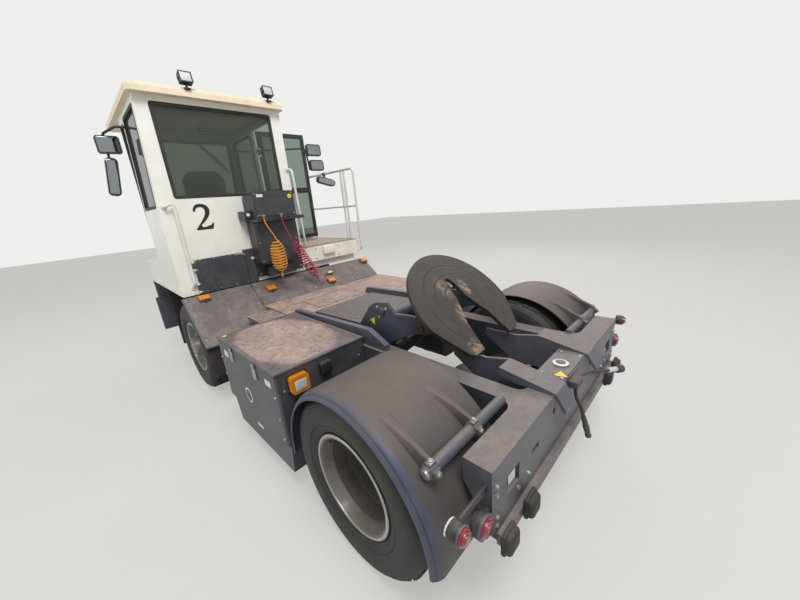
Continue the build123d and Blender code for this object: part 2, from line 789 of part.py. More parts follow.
rear_cut = rounded(block(cab_rear_x - 100, cab_rear_x + 100, -138, 1041, 2168, 3050), Axis.X, 30)
left_cuts = (
    rounded(block(cab_rear_x + 80, cab_taper_x - 25, 800, 1400, 2090, 3040), Axis.Y, 30),
    rounded(block(cab_taper_x + 25, front_zone_x - 40, 700, 1400, 1930, 3010), Axis.Y, 30),
)
door_x = (cab_rear_x + 95, cab_rear_x + 790)
door_z = (1500, 3040)
door_cut = block(*door_x, cab_right_y - 100, cab_right_y + 100, *door_z)
right_cut = rounded(
    block(cab_rear_x + 880, front_zone_x - 40, cab_right_y - 100, cab_right_y + 100, 1930, 3010), Axis.Y, 30)
screen_cut = rounded(
    block(cab_front_x - 300, cab_front_x + 100, cab_right_y + 80, cab_left_y - cab_taper - 85, 1930, 3010),
    Axis.X, 40)
left_cut = left_cuts[0] + left_cuts[1]

# Hinges of the door and the access cover
door_t = 30
door_hinge = (door_x[1] + 20, cab_right_y - 30)
door_hinge_zs = (1750, 2780)
cover_hinge = (cab_rear_x - 20, 1040)
cover_hinge_zs = (1240, 1480)
hinge_pin_r = 8
knuckle_r = 14
knuckle_half_h = 30
bracket_t = 16


def hinge_brackets(axis, zs, reach_x, reach_y):
    """Pins between pairs of brackets that stand on the cab wall."""
    pieces = []
    for z in zs:
        pieces.append(bar_z(axis[0], axis[1], hinge_pin_r, z - 49, z + 49))
        for z0 in (z - 49, z + 49 - bracket_t):
            pieces.append(block(
                axis[0] + reach_x[0], axis[0] + reach_x[1], axis[1] + reach_y[0], axis[1] + reach_y[1],
                z0, z0 + bracket_t,
            ))
    return joined(pieces)


door_brackets = hinge_brackets(door_hinge, door_hinge_zs, (-12, 12), (-12, 30))
cover_brackets = hinge_brackets(cover_hinge, cover_hinge_zs, (-12, 20), (-12, 12))
cab_floor = outer_form & block(-far, far, -far, far, 0, floor_top)
save("cab_rear_wall", ((shell & rear_zone) - rear_cut) + cover_brackets)
save("cab_left_wall", ((shell & mid_zone) & left_half) - left_cut)
save("cab_right_wall", (((shell & mid_zone) & right_half) - door_cut - right_cut) + door_brackets)
save("cab_front_wall", (shell & front_zone) - screen_cut)

roof_t = 85
roof = block(
    cab_rear_x - 90, cab_front_x + 60, cab_right_y - 30, cab_left_y - 8, cab_top, cab_top + roof_t)
roof = rounded(roof, Axis.Z, 60)
roof = fillet(roof.faces().sort_by(Axis.Z)[-1].edges(), 40)
save("cab_roof", roof)

pane_skin = cab_prism((cab_wall - glass_t) / 2) - cab_prism((cab_wall + glass_t) / 2)
panes = [
    pane_skin & rear_cut & rear_zone,
    pane_skin & right_cut & mid_zone,
    pane_skin & screen_cut & front_zone,
    pane_skin & left_cuts[0] & mid_zone,
    pane_skin & left_cuts[1] & mid_zone,
]
save("cab_glass", *panes)

# Cab inside
dash_x = cab_front_x - 420
seat_x = cab_rear_x + 380
seat_y = 590
inside_left = cab_left_y - cab_taper - cab_wall - 12
dash = side_plate(
    [
        (dash_x, floor_top), (dash_x + 60, 1780), (dash_x - 20, 1880), (dash_x + 10, 1930),
        (dash_x + 270, 1915), (cab_front_x - 55, 1850), (cab_front_x - 55, floor_top),
    ],
    cab_right_y + cab_wall + 12, inside_left,
)
console = joined([
    block(cab_rear_x + 250, cab_rear_x + 900, 190, 300, floor_top, 1780),
    rounded(block(cab_rear_x + 420, cab_rear_x + 880, 180, 310, 1780, 1840), Axis.Z, 30),
])
pedestal = joined([
    block(seat_x + 60, seat_x + 420, seat_y - 160, seat_y + 160, floor_top, 1350),
    bar_z(seat_x + 240, seat_y, 120, 1350, 1480),
    block(seat_x + 20, seat_x + 460, seat_y - 200, seat_y + 200, 1480, 1500),
])
hood = block(dash_x + 40, dash_x + 230, seat_y - 190, seat_y + 190, 1900, 2010)
hood = fillet(hood.faces().sort_by(Axis.Z)[-1].edges(), 30)
save("cab_interior", dash + hood, console, pedestal)
cushion = rounded(block(seat_x, seat_x + 500, seat_y - 245, seat_y + 245, 1500 + fit_gap, 1620), Axis.Z, 60)
back = side_plate(
    [(seat_x, 1560), (seat_x + 120, 1560), (seat_x + 30, 2420), (seat_x - 60, 2420)],
    seat_y - 250, seat_y + 250,
)
save("driver_seat", cushion + back)
wheel_tilt = 35
wheel_centre = (dash_x - 130, seat_y, 1990)
wheel_place = Pos(*wheel_centre) * Rot(0, wheel_tilt, 0)
column_axis = Rot(0, wheel_tilt, 0) * Pos(0, 0, -150) * Cylinder(26, 300)
steering = joined([
    wheel_place * Torus(210, 14),
    wheel_place * Box(404, 34, 12),
    wheel_place * Box(34, 404, 12),
    wheel_place * Pos(0, 0, -8) * Cylinder(52, 34),
    Pos(*wheel_centre) * column_axis,
])
save("steering_wheel", steering - dash - hood)

# Door, drawn shut along the right wall and then swung open, and the access cover
door_bar = 42
door_leaf_x = (door_x[0] - 15, door_hinge[0] - 5)
door_leaf_z = (door_z[0] + 20, door_z[1] + 5)
door_leaf_y = (door_hinge[1] - door_t / 2, door_hinge[1] + door_t / 2)
door_mid_z = 2250


def swung(shape):
    """Turn a door piece from shut to its place in the photograph."""
    return Pos(*door_hinge, 0) * Rot(0, 0, 90) * Pos(-door_hinge[0], -door_hinge[1], 0) * shape


def leaf_knuckle(axis, z, arm):
    """The hinge barrel of a leaf, with the arm that joins it to the leaf."""
    return bar_z(axis[0], axis[1], knuckle_r, z - knuckle_half_h, z + knuckle_half_h) + arm


def door_frame():
    """The door's frame with its middle bar and hinge barrels."""
    leaf = block(*door_leaf_x, *door_leaf_y, *door_leaf_z)
    view = block(
        door_leaf_x[0] + door_bar, door_leaf_x[1] - door_bar - 12, door_leaf_y[0] - 5, door_leaf_y[1] + 5,
        door_leaf_z[0] + door_bar, door_leaf_z[1] - door_bar)
    bar = block(door_leaf_x[0], door_leaf_x[1] - 40, *door_leaf_y, door_mid_z - 20, door_mid_z + 20)
    leaf = (leaf - view) + bar
    for z in door_hinge_zs:
        leaf = leaf - block(
            door_hinge[0] - 42, door_hinge[0] + 20, door_leaf_y[0] - 5, door_leaf_y[1] + 5, z - 58, z + 58)
        arm = block(
            door_hinge[0] - 50, door_hinge[0], door_hinge[1] - 9, door_hinge[1] + 9,
            z - knuckle_half_h, z + knuckle_half_h)
        leaf = leaf + leaf_knuckle(door_hinge, z, arm)
        leaf = leaf - bar_z(door_hinge[0], door_hinge[1], hinge_pin_r + bearing_gap, z - 60, z + 60)
    lock = block(door_leaf_x[0] + 8, door_leaf_x[0] + 38, door_leaf_y[0] - 16, door_leaf_y[1] + 8, 2050, 2200)
    return leaf + lock


save("door_frame", swung(door_frame()))
door_panes = [
    block(door_leaf_x[0] + door_bar, door_leaf_x[1] - door_bar - 12, door_hinge[1] - 3, door_hinge[1] + 3, z0, z1)
    for z0, z1 in (
        (door_leaf_z[0] + door_bar, door_mid_z - 20), (door_mid_z + 20, door_leaf_z[1] - door_bar),
    )
]
save("door_glass", *[swung(pane) for pane in door_panes])


def access_cover():
    """A flat cover with hinge barrels at its left edge and a handle."""
    leaf = block(cab_rear_x - 33, cab_rear_x - 8, 510, cover_hinge[1] - 8, 1180, 1540)
    for z in cover_hinge_zs:
        leaf = leaf - block(cab_rear_x - 60, cab_rear_x, cover_hinge[1] - 42, cover_hinge[1] + 9, z - 58, z + 58)
        arm = block(
            cover_hinge[0] - 9, cover_hinge[0] + 9, cover_hinge[1] - 50, cover_hinge[1],
            z - knuckle_half_h, z + knuckle_half_h)
        leaf = leaf + leaf_knuckle(cover_hinge, z, arm)
        leaf = leaf - bar_z(cover_hinge[0], cover_hinge[1], hinge_pin_r + bearing_gap, z - 60, z + 60)
    return leaf


save("access_cover", access_cover())

# Right platform and the hand rails
platform_top = 1460
platform_edge = -body_half_width
platform = joined([
    block(cab_rear_x, front_end_x - 120, platform_edge, cab_right_y - 14, platform_top - 30, platform_top),
    block(cab_rear_x, cab_rear_x + 30, platform_edge, cab_right_y - 14, 1260, platform_top),
    block(cab_rear_x, front_end_x - 120, platform_edge, platform_edge + 30, 1260, platform_top),
    block(cab_rear_x + 60, front_end_x - 150, platform_edge + 90, cab_right_y - 60, cab_bottom, platform_top - 30),
])
save("cab_base", cab_floor, platform)

rail_pipe_r = 17
rail_y = platform_edge - rail_pipe_r
rail_rear = cab_rear_x - 22
rail_front = cab_rear_x + 1230
outer_rail = joined([
    tube(
        [
            (cab_rear_x + 60, rail_y, 1290), (rail_rear, rail_y, 1290), (rail_rear, rail_y, 2480),
            (rail_front, rail_y, 2480), (rail_front, rail_y, 1290),
        ],
        rail_pipe_r, 60,
    ),
    bar_x(rail_y, 1950, 13, rail_rear, rail_front),
    bar_z(cab_rear_x + 205, rail_y, rail_pipe_r, 1290, 2480),
    bar_z(cab_rear_x + 285, rail_y, rail_pipe_r, 1290, 2480),
])
grab_left = tube(
    [
        (cab_rear_x, 1148, 2100), (cab_rear_x - 52, 1148, 2100), (cab_rear_x - 60, 1072, 2130),
        (cab_rear_x - 60, 1076, 1300), (cab_rear_x, 1090, 1250),
    ],
    13, 22,
)
grab_right = tube(
    [
        (cab_rear_x, -238, 2450), (cab_rear_x - 72, -262, 2450), (cab_rear_x - 72, -282, 1500),
        (cab_rear_x, -238, 1500),
    ],
    15, 45,
)
save("hand_rails", outer_rail, grab_left - outer_form, grab_right - outer_form)

# Equipment boxes behind the cab
equipment = joined([
    rounded(block(cab_rear_x - 290, cab_rear_x - 20, -105, 382, 1905, 2192), Axis.X, 12),
    block(cab_rear_x - 350, cab_rear_x - 20, -170, 395, 1870, 1900),
    block(cab_rear_x - 330, cab_rear_x - 20, -150, 385, 1880, 1908),
    rounded(block(cab_rear_x - 215, cab_rear_x - 20, -110, 395, 1390, 1872), Axis.X, 12),
    block(cab_rear_x - 20, cab_rear_x, -225, 384, 1215, 2140),
    block(cab_rear_x - 190, cab_rear_x - 19, 384, 470, 1900, 1995),
    block(cab_rear_x - 130, cab_rear_x - 19, -60, 300, 1215, 1330),
])
save("equipment_box", equipment)

# Lamps
lamp_tilt = 12


def work_lamp(y):
    """A square work lamp on a stalk at the rear of the roof."""
    head = rounded(block(-30, 30, -58, 58, -52, 52), Axis.X, 16)
    head = Pos(cab_rear_x - 92, y, 3258) * Rot(0, lamp_tilt, 0) * head
    stalk = bar_z(cab_rear_x - 82, y, 11, cab_top + roof_t - 30, 3215)
    foot = block(cab_rear_x - 112, cab_rear_x - 60, y - 28, y + 28, cab_top + roof_t - 22, cab_top + roof_t - 10)
    return (head + stalk + foot) - roof


save("work_lamps", work_lamp(700), work_lamp(-110))

lamp_y = body_half_width - 200
amber_spots = ((lamp_y, 1124), (334, 1066), (-465, 990), (50 - body_half_width, 1122))
amber_size = (64, 104, 46)


def amber_lamp(y, z):
    """A box lamp on the slope plate."""
    body = Pos(0, 0, amber_size[2] / 2) * Box(*amber_size)
    body = fillet(body.faces().sort_by(Axis.Z)[-1].edges(), 12)
    return Pos(slope_x(z), y, z) * Rot(0, -degrees(slope_angle), 0) * body


box_lamp = rounded(block(box_rear_x - 55, box_rear_x, lamp_y - 5, lamp_y + 120, 830, 950), Axis.X, 18)
save("amber_lamps", *[amber_lamp(y, z) for y, z in amber_spots], box_lamp)

tail_y = 1052
marker_y = 1215
rear_lamps = []
for side in (1, -1):
    rear_lamps.append(joined([
        bar_x(side * tail_y, 703, 54, rear_face_x - 6, rear_face_x + 42),
        bar_x(side * tail_y, 703, 44, rear_face_x - 26, rear_face_x - 6),
        block(rear_face_x + 12, rear_face_x + 30, side * wing_half_width, side * (tail_y - 20), 684, 722),
    ]))
    rear_lamps.append(joined([
        bar_x(side * marker_y, 827, 40, rear_face_x - 12, rear_face_x + 50),
        bar_x(side * marker_y, 827, 31, rear_face_x - 34, rear_face_x - 12),
        block(rear_face_x + 22, rear_face_x + 34, side * wing_half_width, side * (marker_y - 12), 812, 842),
    ]))
save("rear_lamps", *rear_lamps)

# Front bumper, grille and headlamps
grille_half = 420
bumper = block(front_end_x - 120, front_end_x, -body_half_width, body_half_width, 430, rail_top)
bumper = chamfer(bumper.edges().filter_by(Axis.Z).group_by(Axis.X)[-1], 70)
bumper = bumper - block(front_end_x - 60, front_end_x + 1, -200, 200, 520, 640)
panel_x = (front_end_x - 150, front_end_x - 100)
front_panel = block(*panel_x, 30 - body_half_width, cab_left_y, rail_top, cab_bottom)
front_panel = front_panel - block(front_end_x - 200, front_end_x, -grille_half, grille_half, 935, 1145)
slat_pitch = 35
slats = [
    block(panel_x[0] + 8, panel_x[1] - 8, -grille_half - 1, grille_half + 1, z - 8, z + 8)
    for z in [960 + slat_pitch * k for k in range(6)]
]
save("front_bumper", joined([bumper, front_panel] + slats))
save("headlamps", *[
    bar_x(side * 900, 1045, 88, panel_x[1], panel_x[1] + 32) for side in (1, -1)
])

# Mirrors
left_stem = tube(
    [
        (cab_taper_x, 1100, 2960), (cab_taper_x, 1235, 2960), (cab_rear_x + 820, 1345, 2900),
        (cab_rear_x + 838, 1352, 2640),
    ],
    12, 30,
) - outer_form
left_mirrors = joined([
    left_stem,
    rounded(block(cab_rear_x + 800, cab_rear_x + 850, 1222, 1428, 2705, 2880), Axis.X, 26),
    Pos(cab_rear_x + 815, 1372, 2468) * Rot(9, 0, 0) * rounded(Box(52, 108, 392), Axis.X, 40),
])
right_stem = tube(
    [
        (front_zone_x - 18, cab_right_y + 30, 2900), (front_zone_x - 18, cab_right_y - 160, 2900),
        (cab_rear_x + 1010, -1160, 2900), (cab_rear_x + 1010, -1190, 2570),
    ],
    13, 60,
) - outer_form
right_mirrors = joined([
    right_stem,
    rounded(block(cab_rear_x + 960, cab_rear_x + 1005, -1415, -1155, 2785, 2960), Axis.X, 40),
    rounded(block(cab_rear_x + 960, cab_rear_x + 1005, -1435, -1180, 2560, 2725), Axis.X, 40),
])
clamp_x = cab_rear_x + 730
clamp_z = 2480
rail_clamp = joined([
    bar_x(rail_y, clamp_z, rail_pipe_r + 8, clamp_x - 18, clamp_x + 18),
    block(clamp_x - 14, clamp_x + 14, rail_y - 12, rail_y + 12, 2400, clamp_z - rail_pipe_r - 2),
    Pos(clamp_x, -1278, 2366) * Rot(14, 0, 0) * rounded(Box(60, 330, 104), Axis.X, 50),
]) - bar_x(rail_y, clamp_z, rail_pipe_r + fit_gap, clamp_x - 60, clamp_x + 60)
save("mirrors", left_mirrors, right_mirrors, rail_clamp)

# Air lines and rear hoses: plain tubes, where a curly length is one fat tube
gland_x = cab_rear_x - 370
gland_z = 1900
hose_r = 6
yellow_coil_r = 80
red_coil_r = 60
yellow_lead = [
    (gland_x, 332, gland_z), (gland_x, 332, gland_z - 50), (gland_x, 248, 1700), (gland_x, 248, 1656),
]
yellow_coil_end = (gland_x, 248, 1275)
red_lead = [
    (gland_x, 128, gland_z), (gland_x, 128, gland_z - 50), (gland_x - 6, 68, 1668), (gland_x, 40, 1615),
]
red_tail = [
    (gland_x + 60, -240, 1089), (gland_x + 69, -282, 1010), (gland_x + 112, -372, 1030),
    (gland_x + 176, -425, 1080), (gland_x + 196, -472.3, 1090),
]
rear_hose_r = 10
elbow_x = rear_face_x - 56
elbow_z = 860
drop_hose = [
    (rear_face_x - 36, 96, elbow_z), (rear_face_x - 36, 96, 800), (rear_face_x - 64, 62, 720),
    (rear_face_x - 76, 36, 640),
]
side_hose = [
    (rear_face_x - 32, 30, 880), (rear_face_x - 32, -50, 880), (rear_face_x - 92, -150, 862),
    (rear_face_x - 119, -260, 829),
]


def corner_radii(points):
    """The bend radius at each inner corner of a route, from its shorter run."""
    radii = []
    for a, b, c in zip(points, points[1:], points[2:]):
        run_in = Vector(*b) - Vector(*a)
        run_out = Vector(*c) - Vector(*b)
        half_turn = radians(run_in.get_angle(run_out)) / 2
        radii.append(0.45 * min(run_in.length, run_out.length) / tan(half_turn))
    return radii


def cord(points, r):
    """A plain tube along a route."""
    path = FilletPolyline(*points, radius=corner_radii(points))
    return sweep(Plane(origin=path @ 0, z_dir=path % 0) * Circle(r), path=path)


def bar_between(a, b, r):
    """A round bar from one point to another."""
    axis = Vector(*b) - Vector(*a)
    return extrude(Plane(origin=a, z_dir=axis) * Circle(r), amount=axis.length)


def beyond(points, reach):
    """The point that lies a distance past a route's end, on its last run."""
    end = Vector(*points[-1])
    last = (end - Vector(*points[-2])).normalized()
    return tuple(end + last * reach)


save("air_line_yellow", cord(yellow_lead, hose_r) + bar_between(yellow_lead[-1], yellow_coil_end, yellow_coil_r))
red_coil = bar_between(red_lead[-1], red_tail[0], red_coil_r)
save("air_line_red", cord(red_lead, hose_r) + red_coil + cord(red_tail, hose_r))
save("rear_hose_left", cord(drop_hose, rear_hose_r))
save("rear_hose_right", cord(side_hose, rear_hose_r))
drop_plug = bar_between(drop_hose[-1], beyond(drop_hose, 80), 15)
drop_plug = drop_plug + bar_between(beyond(drop_hose, 80), beyond(drop_hose, 180), 18)
side_plug = bar_between(side_hose[-1], beyond(side_hose, 105), 16)
side_plug = side_plug + bar_between(beyond(side_hose, 105), beyond(side_hose, 215), 28)
save("rear_hose_plugs", drop_plug, side_plug)


def air_gland(y):
    """A brass elbow on the rear face of the upper equipment box."""
    return bar_x(y, gland_z + 30, 14, gland_x - 16, cab_rear_x - 290) + bar_z(gland_x, y, 11, gland_z, gland_z + 32)


coil_x, coil_y, coil_z = yellow_coil_end
loose_coupling = bar_z(coil_x, coil_y, 13, coil_z - 62, coil_z) + bar_z(coil_x, coil_y, 17, coil_z - 42, coil_z - 18)
parking_z = 1075
parking = Pos(slope_x(parking_z), -520, parking_z) * Rot(0, -degrees(slope_angle), 0) * Pos(0, 0, 20)
save(
    "hose_couplings", air_gland(yellow_lead[0][1]), air_gland(red_lead[0][1]),
    block(elbow_x, rear_face_x, 30, 130, elbow_z, elbow_z + 42), parking * Box(50, 90, 40), loose_coupling,
)
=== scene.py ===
from math import atan2, cos, degrees, pi, radians, sin, sqrt, tan

import bmesh
import bpy
from mathutils import Matrix, Vector


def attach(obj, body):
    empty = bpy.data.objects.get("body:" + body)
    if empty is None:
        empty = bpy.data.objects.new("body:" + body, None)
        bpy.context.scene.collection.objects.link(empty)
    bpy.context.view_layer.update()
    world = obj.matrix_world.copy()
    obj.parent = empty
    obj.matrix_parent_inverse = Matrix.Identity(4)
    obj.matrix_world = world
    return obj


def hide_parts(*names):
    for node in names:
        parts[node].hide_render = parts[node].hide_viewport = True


# The terminal tractor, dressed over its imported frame. Metres, +X to the front, +Y to the left.
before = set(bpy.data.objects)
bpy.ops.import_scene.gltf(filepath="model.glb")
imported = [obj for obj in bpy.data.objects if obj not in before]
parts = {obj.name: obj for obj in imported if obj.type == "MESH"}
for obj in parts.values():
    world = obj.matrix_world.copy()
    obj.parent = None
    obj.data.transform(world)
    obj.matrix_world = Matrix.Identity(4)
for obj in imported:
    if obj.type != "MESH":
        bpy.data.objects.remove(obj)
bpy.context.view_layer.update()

# Ways and places that many pieces share
FRONT, LEFT, UP = Vector((1, 0, 0)), Vector((0, 1, 0)), Vector((0, 0, 1))
BACK, RIGHT, DOWN = -FRONT, -LEFT, -UP
SIDES = (("left", 1), ("right", -1))
rear_axle_x = -1.9
front_axle_x = 1.1
wheel_z = 0.522
rear_face_x = -2.623
cab_rear_x = 0.87
slope_angle = radians(38.927)
slope_top = Vector((0.82, 0, 1.165))
deck_z, side_deck_z, lid_z = 0.935, 0.930, 0.992
box_face_y = 1.2405
coupling_x, coupling_z, coupling_tilt = -1.773, 1.131, radians(-42.5)


def put_in_scene(name, data):
    """A new object of some data in the scene."""
    thing = bpy.data.objects.new(name, data)
    bpy.context.scene.collection.objects.link(thing)
    return thing


# Camera

def stand_camera():
    """The camera stands where the photograph was taken from."""
    yaw, pitch, roll = radians(44.38), radians(17.09), radians(5.03)
    ahead = Vector((cos(yaw) * cos(pitch), -sin(yaw) * cos(pitch), -sin(pitch)))
    level = Vector((-sin(yaw), -cos(yaw), 0))
    down = ahead.cross(level)
    across = cos(roll) * level + sin(roll) * down
    up = sin(roll) * level - cos(roll) * down
    data = bpy.data.cameras.new("yard_camera")
    data.sensor_width = 36
    data.lens = 14.39
    data.clip_start = 0.05
    data.clip_end = 200
    camera = put_in_scene("yard_camera", data)
    turn = Matrix((across, up, -ahead)).transposed()
    camera.matrix_world = Matrix.Translation((-3.1175, 1.8899, 1.9572)) @ turn.to_4x4()
    bpy.context.scene.camera = camera


stand_camera()


# Cords

def lay_line(name, points, radius):
    """A hose on one open smooth spline, with the points as its control points."""
    data = bpy.data.curves.new(name, "CURVE")
    data.dimensions = "3D"
    data.bevel_depth = 1.0
    data.bevel_resolution = 3
    data.resolution_u = 6
    data.use_fill_caps = True
    spline = data.splines.new("NURBS")
    spline.points.add(len(points) - 1)
    for control, point in zip(spline.points, points):
        control.co = (*point, 1)
        control.radius = radius
    spline.order_u = 3
    spline.use_endpoint_u = True
    return put_in_scene(name, data)


def curled(start, end, turns, widths, first_side, per_turn=14, sway=0.0):
    """Points of a curly length from start to end; widths are its radius at even steps along it."""
    start, end = Vector(start), Vector(end)
    axis = (end - start).normalized()
    side = (Vector(first_side) - axis * axis.dot(Vector(first_side))).normalized()
    other = axis.cross(side)
    count = int(turns * per_turn)
    points = []
    for k in range(count + 1):
        share = k / count
        place = share * (len(widths) - 1)
        low = min(int(place), len(widths) - 2)
        width = widths[low] + (widths[low + 1] - widths[low]) * (place - low)
        angle = 2 * pi * turns * share
        middle = start.lerp(end, share) + side * sway * sin(pi * share)
        lean = 0.10 * width * sin(angle)
        points.append(middle + side * width * cos(angle) + other * width * sin(angle) + axis * lean)
    return points


hose_r = 0.006
yellow_top = [(0.5, 0.332, 1.9), (0.5, 0.332, 1.85), (0.5, 0.248, 1.70), (0.5, 0.248, 1.664)]
yellow_turns = curled(
    (0.5, 0.248, 1.645), (0.5, 0.248, 1.292), 11,
    [0.03, 0.058, 0.074, 0.080, 0.082, 0.084, 0.083, 0.078, 0.062, 0.02], RIGHT)
yellow_foot = [(0.5, 0.248, 1.283), (0.5, 0.248, 1.275)]
red_top = [(0.5, 0.128, 1.9), (0.5, 0.128, 1.85), (0.494, 0.068, 1.668), (0.5, 0.04, 1.622)]
red_turns = curled(
    (0.502, 0.03, 1.60), (0.559, -0.236, 1.10), 16,
    [0.02, 0.042, 0.050, 0.052, 0.054, 0.056, 0.058, 0.058, 0.056, 0.052, 0.040, 0.012], FRONT, sway=0.004)
red_tail = [
    (0.56, -0.24, 1.089), (0.569, -0.282, 1.010), (0.612, -0.372, 1.030), (0.676, -0.425, 1.080),
    (0.696, -0.4723, 1.090),
]


def past(points, reach):
    """The point a distance past a hose's end."""
    end, before = Vector(points[-1]), Vector(points[-2])
    return end + (end - before).normalized() * reach


drop_points = [(-2.659, 0.096, 0.86), (-2.659, 0.096, 0.8), (-2.687, 0.062, 0.72), (-2.699, 0.036, 0.64)]
side_points = [(-2.655, 0.03, 0.88), (-2.655, -0.05, 0.88), (-2.715, -0.15, 0.862), (-2.742, -0.26, 0.829)]
yellow_line = lay_line("air_line_yellow_hose", yellow_top + yellow_turns + yellow_foot, hose_r)
red_line = lay_line("air_line_red_hose", red_top + red_turns + red_tail, hose_r)
drop_line = lay_line("rear_hose_left_line", drop_points + [past(drop_points, 0.031)], 0.01)
side_line = lay_line("rear_hose_right_line", side_points + [past(side_points, 0.038)], 0.01)


def line_length(line):
    """The length of a hose along its smooth spline."""
    depth = line.data.bevel_depth
    line.data.bevel_depth = 0
    view = bpy.context.evaluated_depsgraph_get()
    bare = bpy.data.meshes.new_from_object(line.evaluated_get(view))
    total = sum((bare.vertices[a].co - bare.vertices[b].co).length for a, b in (e.vertices for e in bare.edges))
    bpy.data.meshes.remove(bare)
    line.data.bevel_depth = depth
    return total


# Finishes

def tone(red, green, blue):
    """A colour as it is seen, 0 to 255, for a shader."""
    def linear(value):
        value = value / 255
        return value / 12.92 if value <= 0.04045 else ((value + 0.055) / 1.055) ** 2.4
    return (linear(red), linear(green), linear(blue), 1)


def lay_node(tree, kind, at, **values):
    """A node at a place in the tree, with its inputs or settings by name."""
    node = tree.nodes.new(kind)
    node.location = at
    for name, value in values.items():
        if hasattr(node, name) and name not in node.inputs:
            setattr(node, name, value)
        else:
            node.inputs[name.replace("_", " ")].default_value = value
    return node


def coords_of(tree, at, kind="Object"):
    """The object's own coordinates, or its normal."""
    return lay_node(tree, "ShaderNodeTexCoord", at).outputs[kind]


def noise(tree, at, scale, detail=5.0, roughness=0.55):
    """A noise node on the object's own coordinates."""
    node = lay_node(tree, "ShaderNodeTexNoise", at, Scale=scale, Detail=detail, Roughness=roughness)
    tree.links.new(coords_of(tree, (at[0] - 200, at[1])), node.inputs["Vector"])
    return node.outputs["Fac"]


def along(tree, at, axis, kind="Object"):
    """One part, X, Y or Z, of the coordinates or of the normal."""
    split = lay_node(tree, "ShaderNodeSeparateXYZ", at)
    tree.links.new(coords_of(tree, (at[0] - 200, at[1]), kind), split.inputs[0])
    return split.outputs[axis]


def step(tree, at, source, low, high):
    """A mask that is 0 below low and 1 above high."""
    node = lay_node(tree, "ShaderNodeMapRange", at)
    node.clamp = True
    node.inputs["From Min"].default_value = low
    node.inputs["From Max"].default_value = high
    tree.links.new(source, node.inputs["Value"])
    return node.outputs["Result"]


def sum_of(tree, at, kind, *values):
    """A math node of sources or numbers."""
    node = lay_node(tree, "ShaderNodeMath", at)
    node.operation = kind
    for socket, value in zip(node.inputs, values):
        if isinstance(value, (int, float)):
            socket.default_value = value
        else:
            tree.links.new(value, socket)
    return node.outputs[0]


def blend_of(tree, at, mask, under, over):
    """A colour mix of two colours or sources by a mask."""
    node = lay_node(tree, "ShaderNodeMix", at)
    node.data_type = "RGBA"
    tree.links.new(mask, node.inputs["Factor"])
    for name, value in (("A", under), ("B", over)):
        socket = [s for s in node.inputs if s.name == name and s.type == "RGBA"][0]
        if isinstance(value, tuple):
            socket.default_value = value
        else:
            tree.links.new(value, socket)
    return [s for s in node.outputs if s.type == "RGBA"][0]


def make_group(name, inputs, outputs):
    """An empty shader group with named float or colour sockets."""
    group = bpy.data.node_groups.new(name, "ShaderNodeTree")
    for label, value in inputs:
        kind = "NodeSocketColor" if isinstance(value, tuple) else "NodeSocketFloat"
        socket = group.interface.new_socket(label, in_out="INPUT", socket_type=kind)
        socket.default_value = value
    for label, kind in outputs:
        group.interface.new_socket(label, in_out="OUTPUT", socket_type=kind)
    source = group.nodes.new("NodeGroupInput")
    source.location = (-900, 0)
    target = group.nodes.new("NodeGroupOutput")
    target.location = (900, 0)
    return group, source, target


def make_yard_dust():
    """Brown yard dust that lies on what faces up and clings in patches to the rest."""
    group, source, target = make_group(
        "yard_dust",
        [("Paint", tone(80, 82, 90)), ("Dust", tone(140, 122, 106)), ("Top", 0.8), ("Sides", 0.2), ("Shine", 0.5)],
        [("Colour", "NodeSocketColor"), ("Roughness", "NodeSocketFloat"), ("Mask", "NodeSocketFloat")],
    )
    facing = step(group, (-500, 400), along(group, (-700, 400), "Z", "Normal"), 0.74, 0.98)
    drift = step(group, (-500, 150), noise(group, (-700, 150), 1.7, 7.0, 0.62), 0.28, 0.66)
    speckle = step(group, (-500, -100), noise(group, (-700, -100), 23.0, 6.0, 0.7), 0.36, 0.74)
    smear = step(group, (-500, -350), noise(group, (-700, -350), 5.5, 5.0, 0.6), 0.45, 0.72)
    lie = sum_of(group, (-250, 300), "MULTIPLY_ADD", drift, 0.42, 0.5)
    lie = sum_of(group, (-80, 300), "MULTIPLY", lie, facing)
    lie = sum_of(group, (80, 300), "MULTIPLY", lie, source.outputs["Top"])
    cling = sum_of(group, (-80, 50), "MULTIPLY", smear, source.outputs["Sides"])
    grit = sum_of(group, (-80, -150), "MULTIPLY", speckle, 0.22)
    total = sum_of(group, (240, 200), "ADD", lie, cling)
    gritted = sum_of(group, (400, 100), "MULTIPLY", total, sum_of(group, (240, 0), "ADD", grit, 0.82))
    gritted.node.use_clamp = True
    shade = blend_of(group, (400, -350), speckle, source.outputs["Dust"], tone(104, 88, 76))
    colour = blend_of(group, (600, 200), gritted, source.outputs["Paint"], shade)
    rough = sum_of(group, (600, -100), "MULTIPLY_ADD", gritted, 0.4, source.outputs["Shine"])
    group.links.new(colour, target.inputs["Colour"])
    group.links.new(rough, target.inputs["Roughness"])
    group.links.new(gritted, target.inputs["Mask"])
    return group


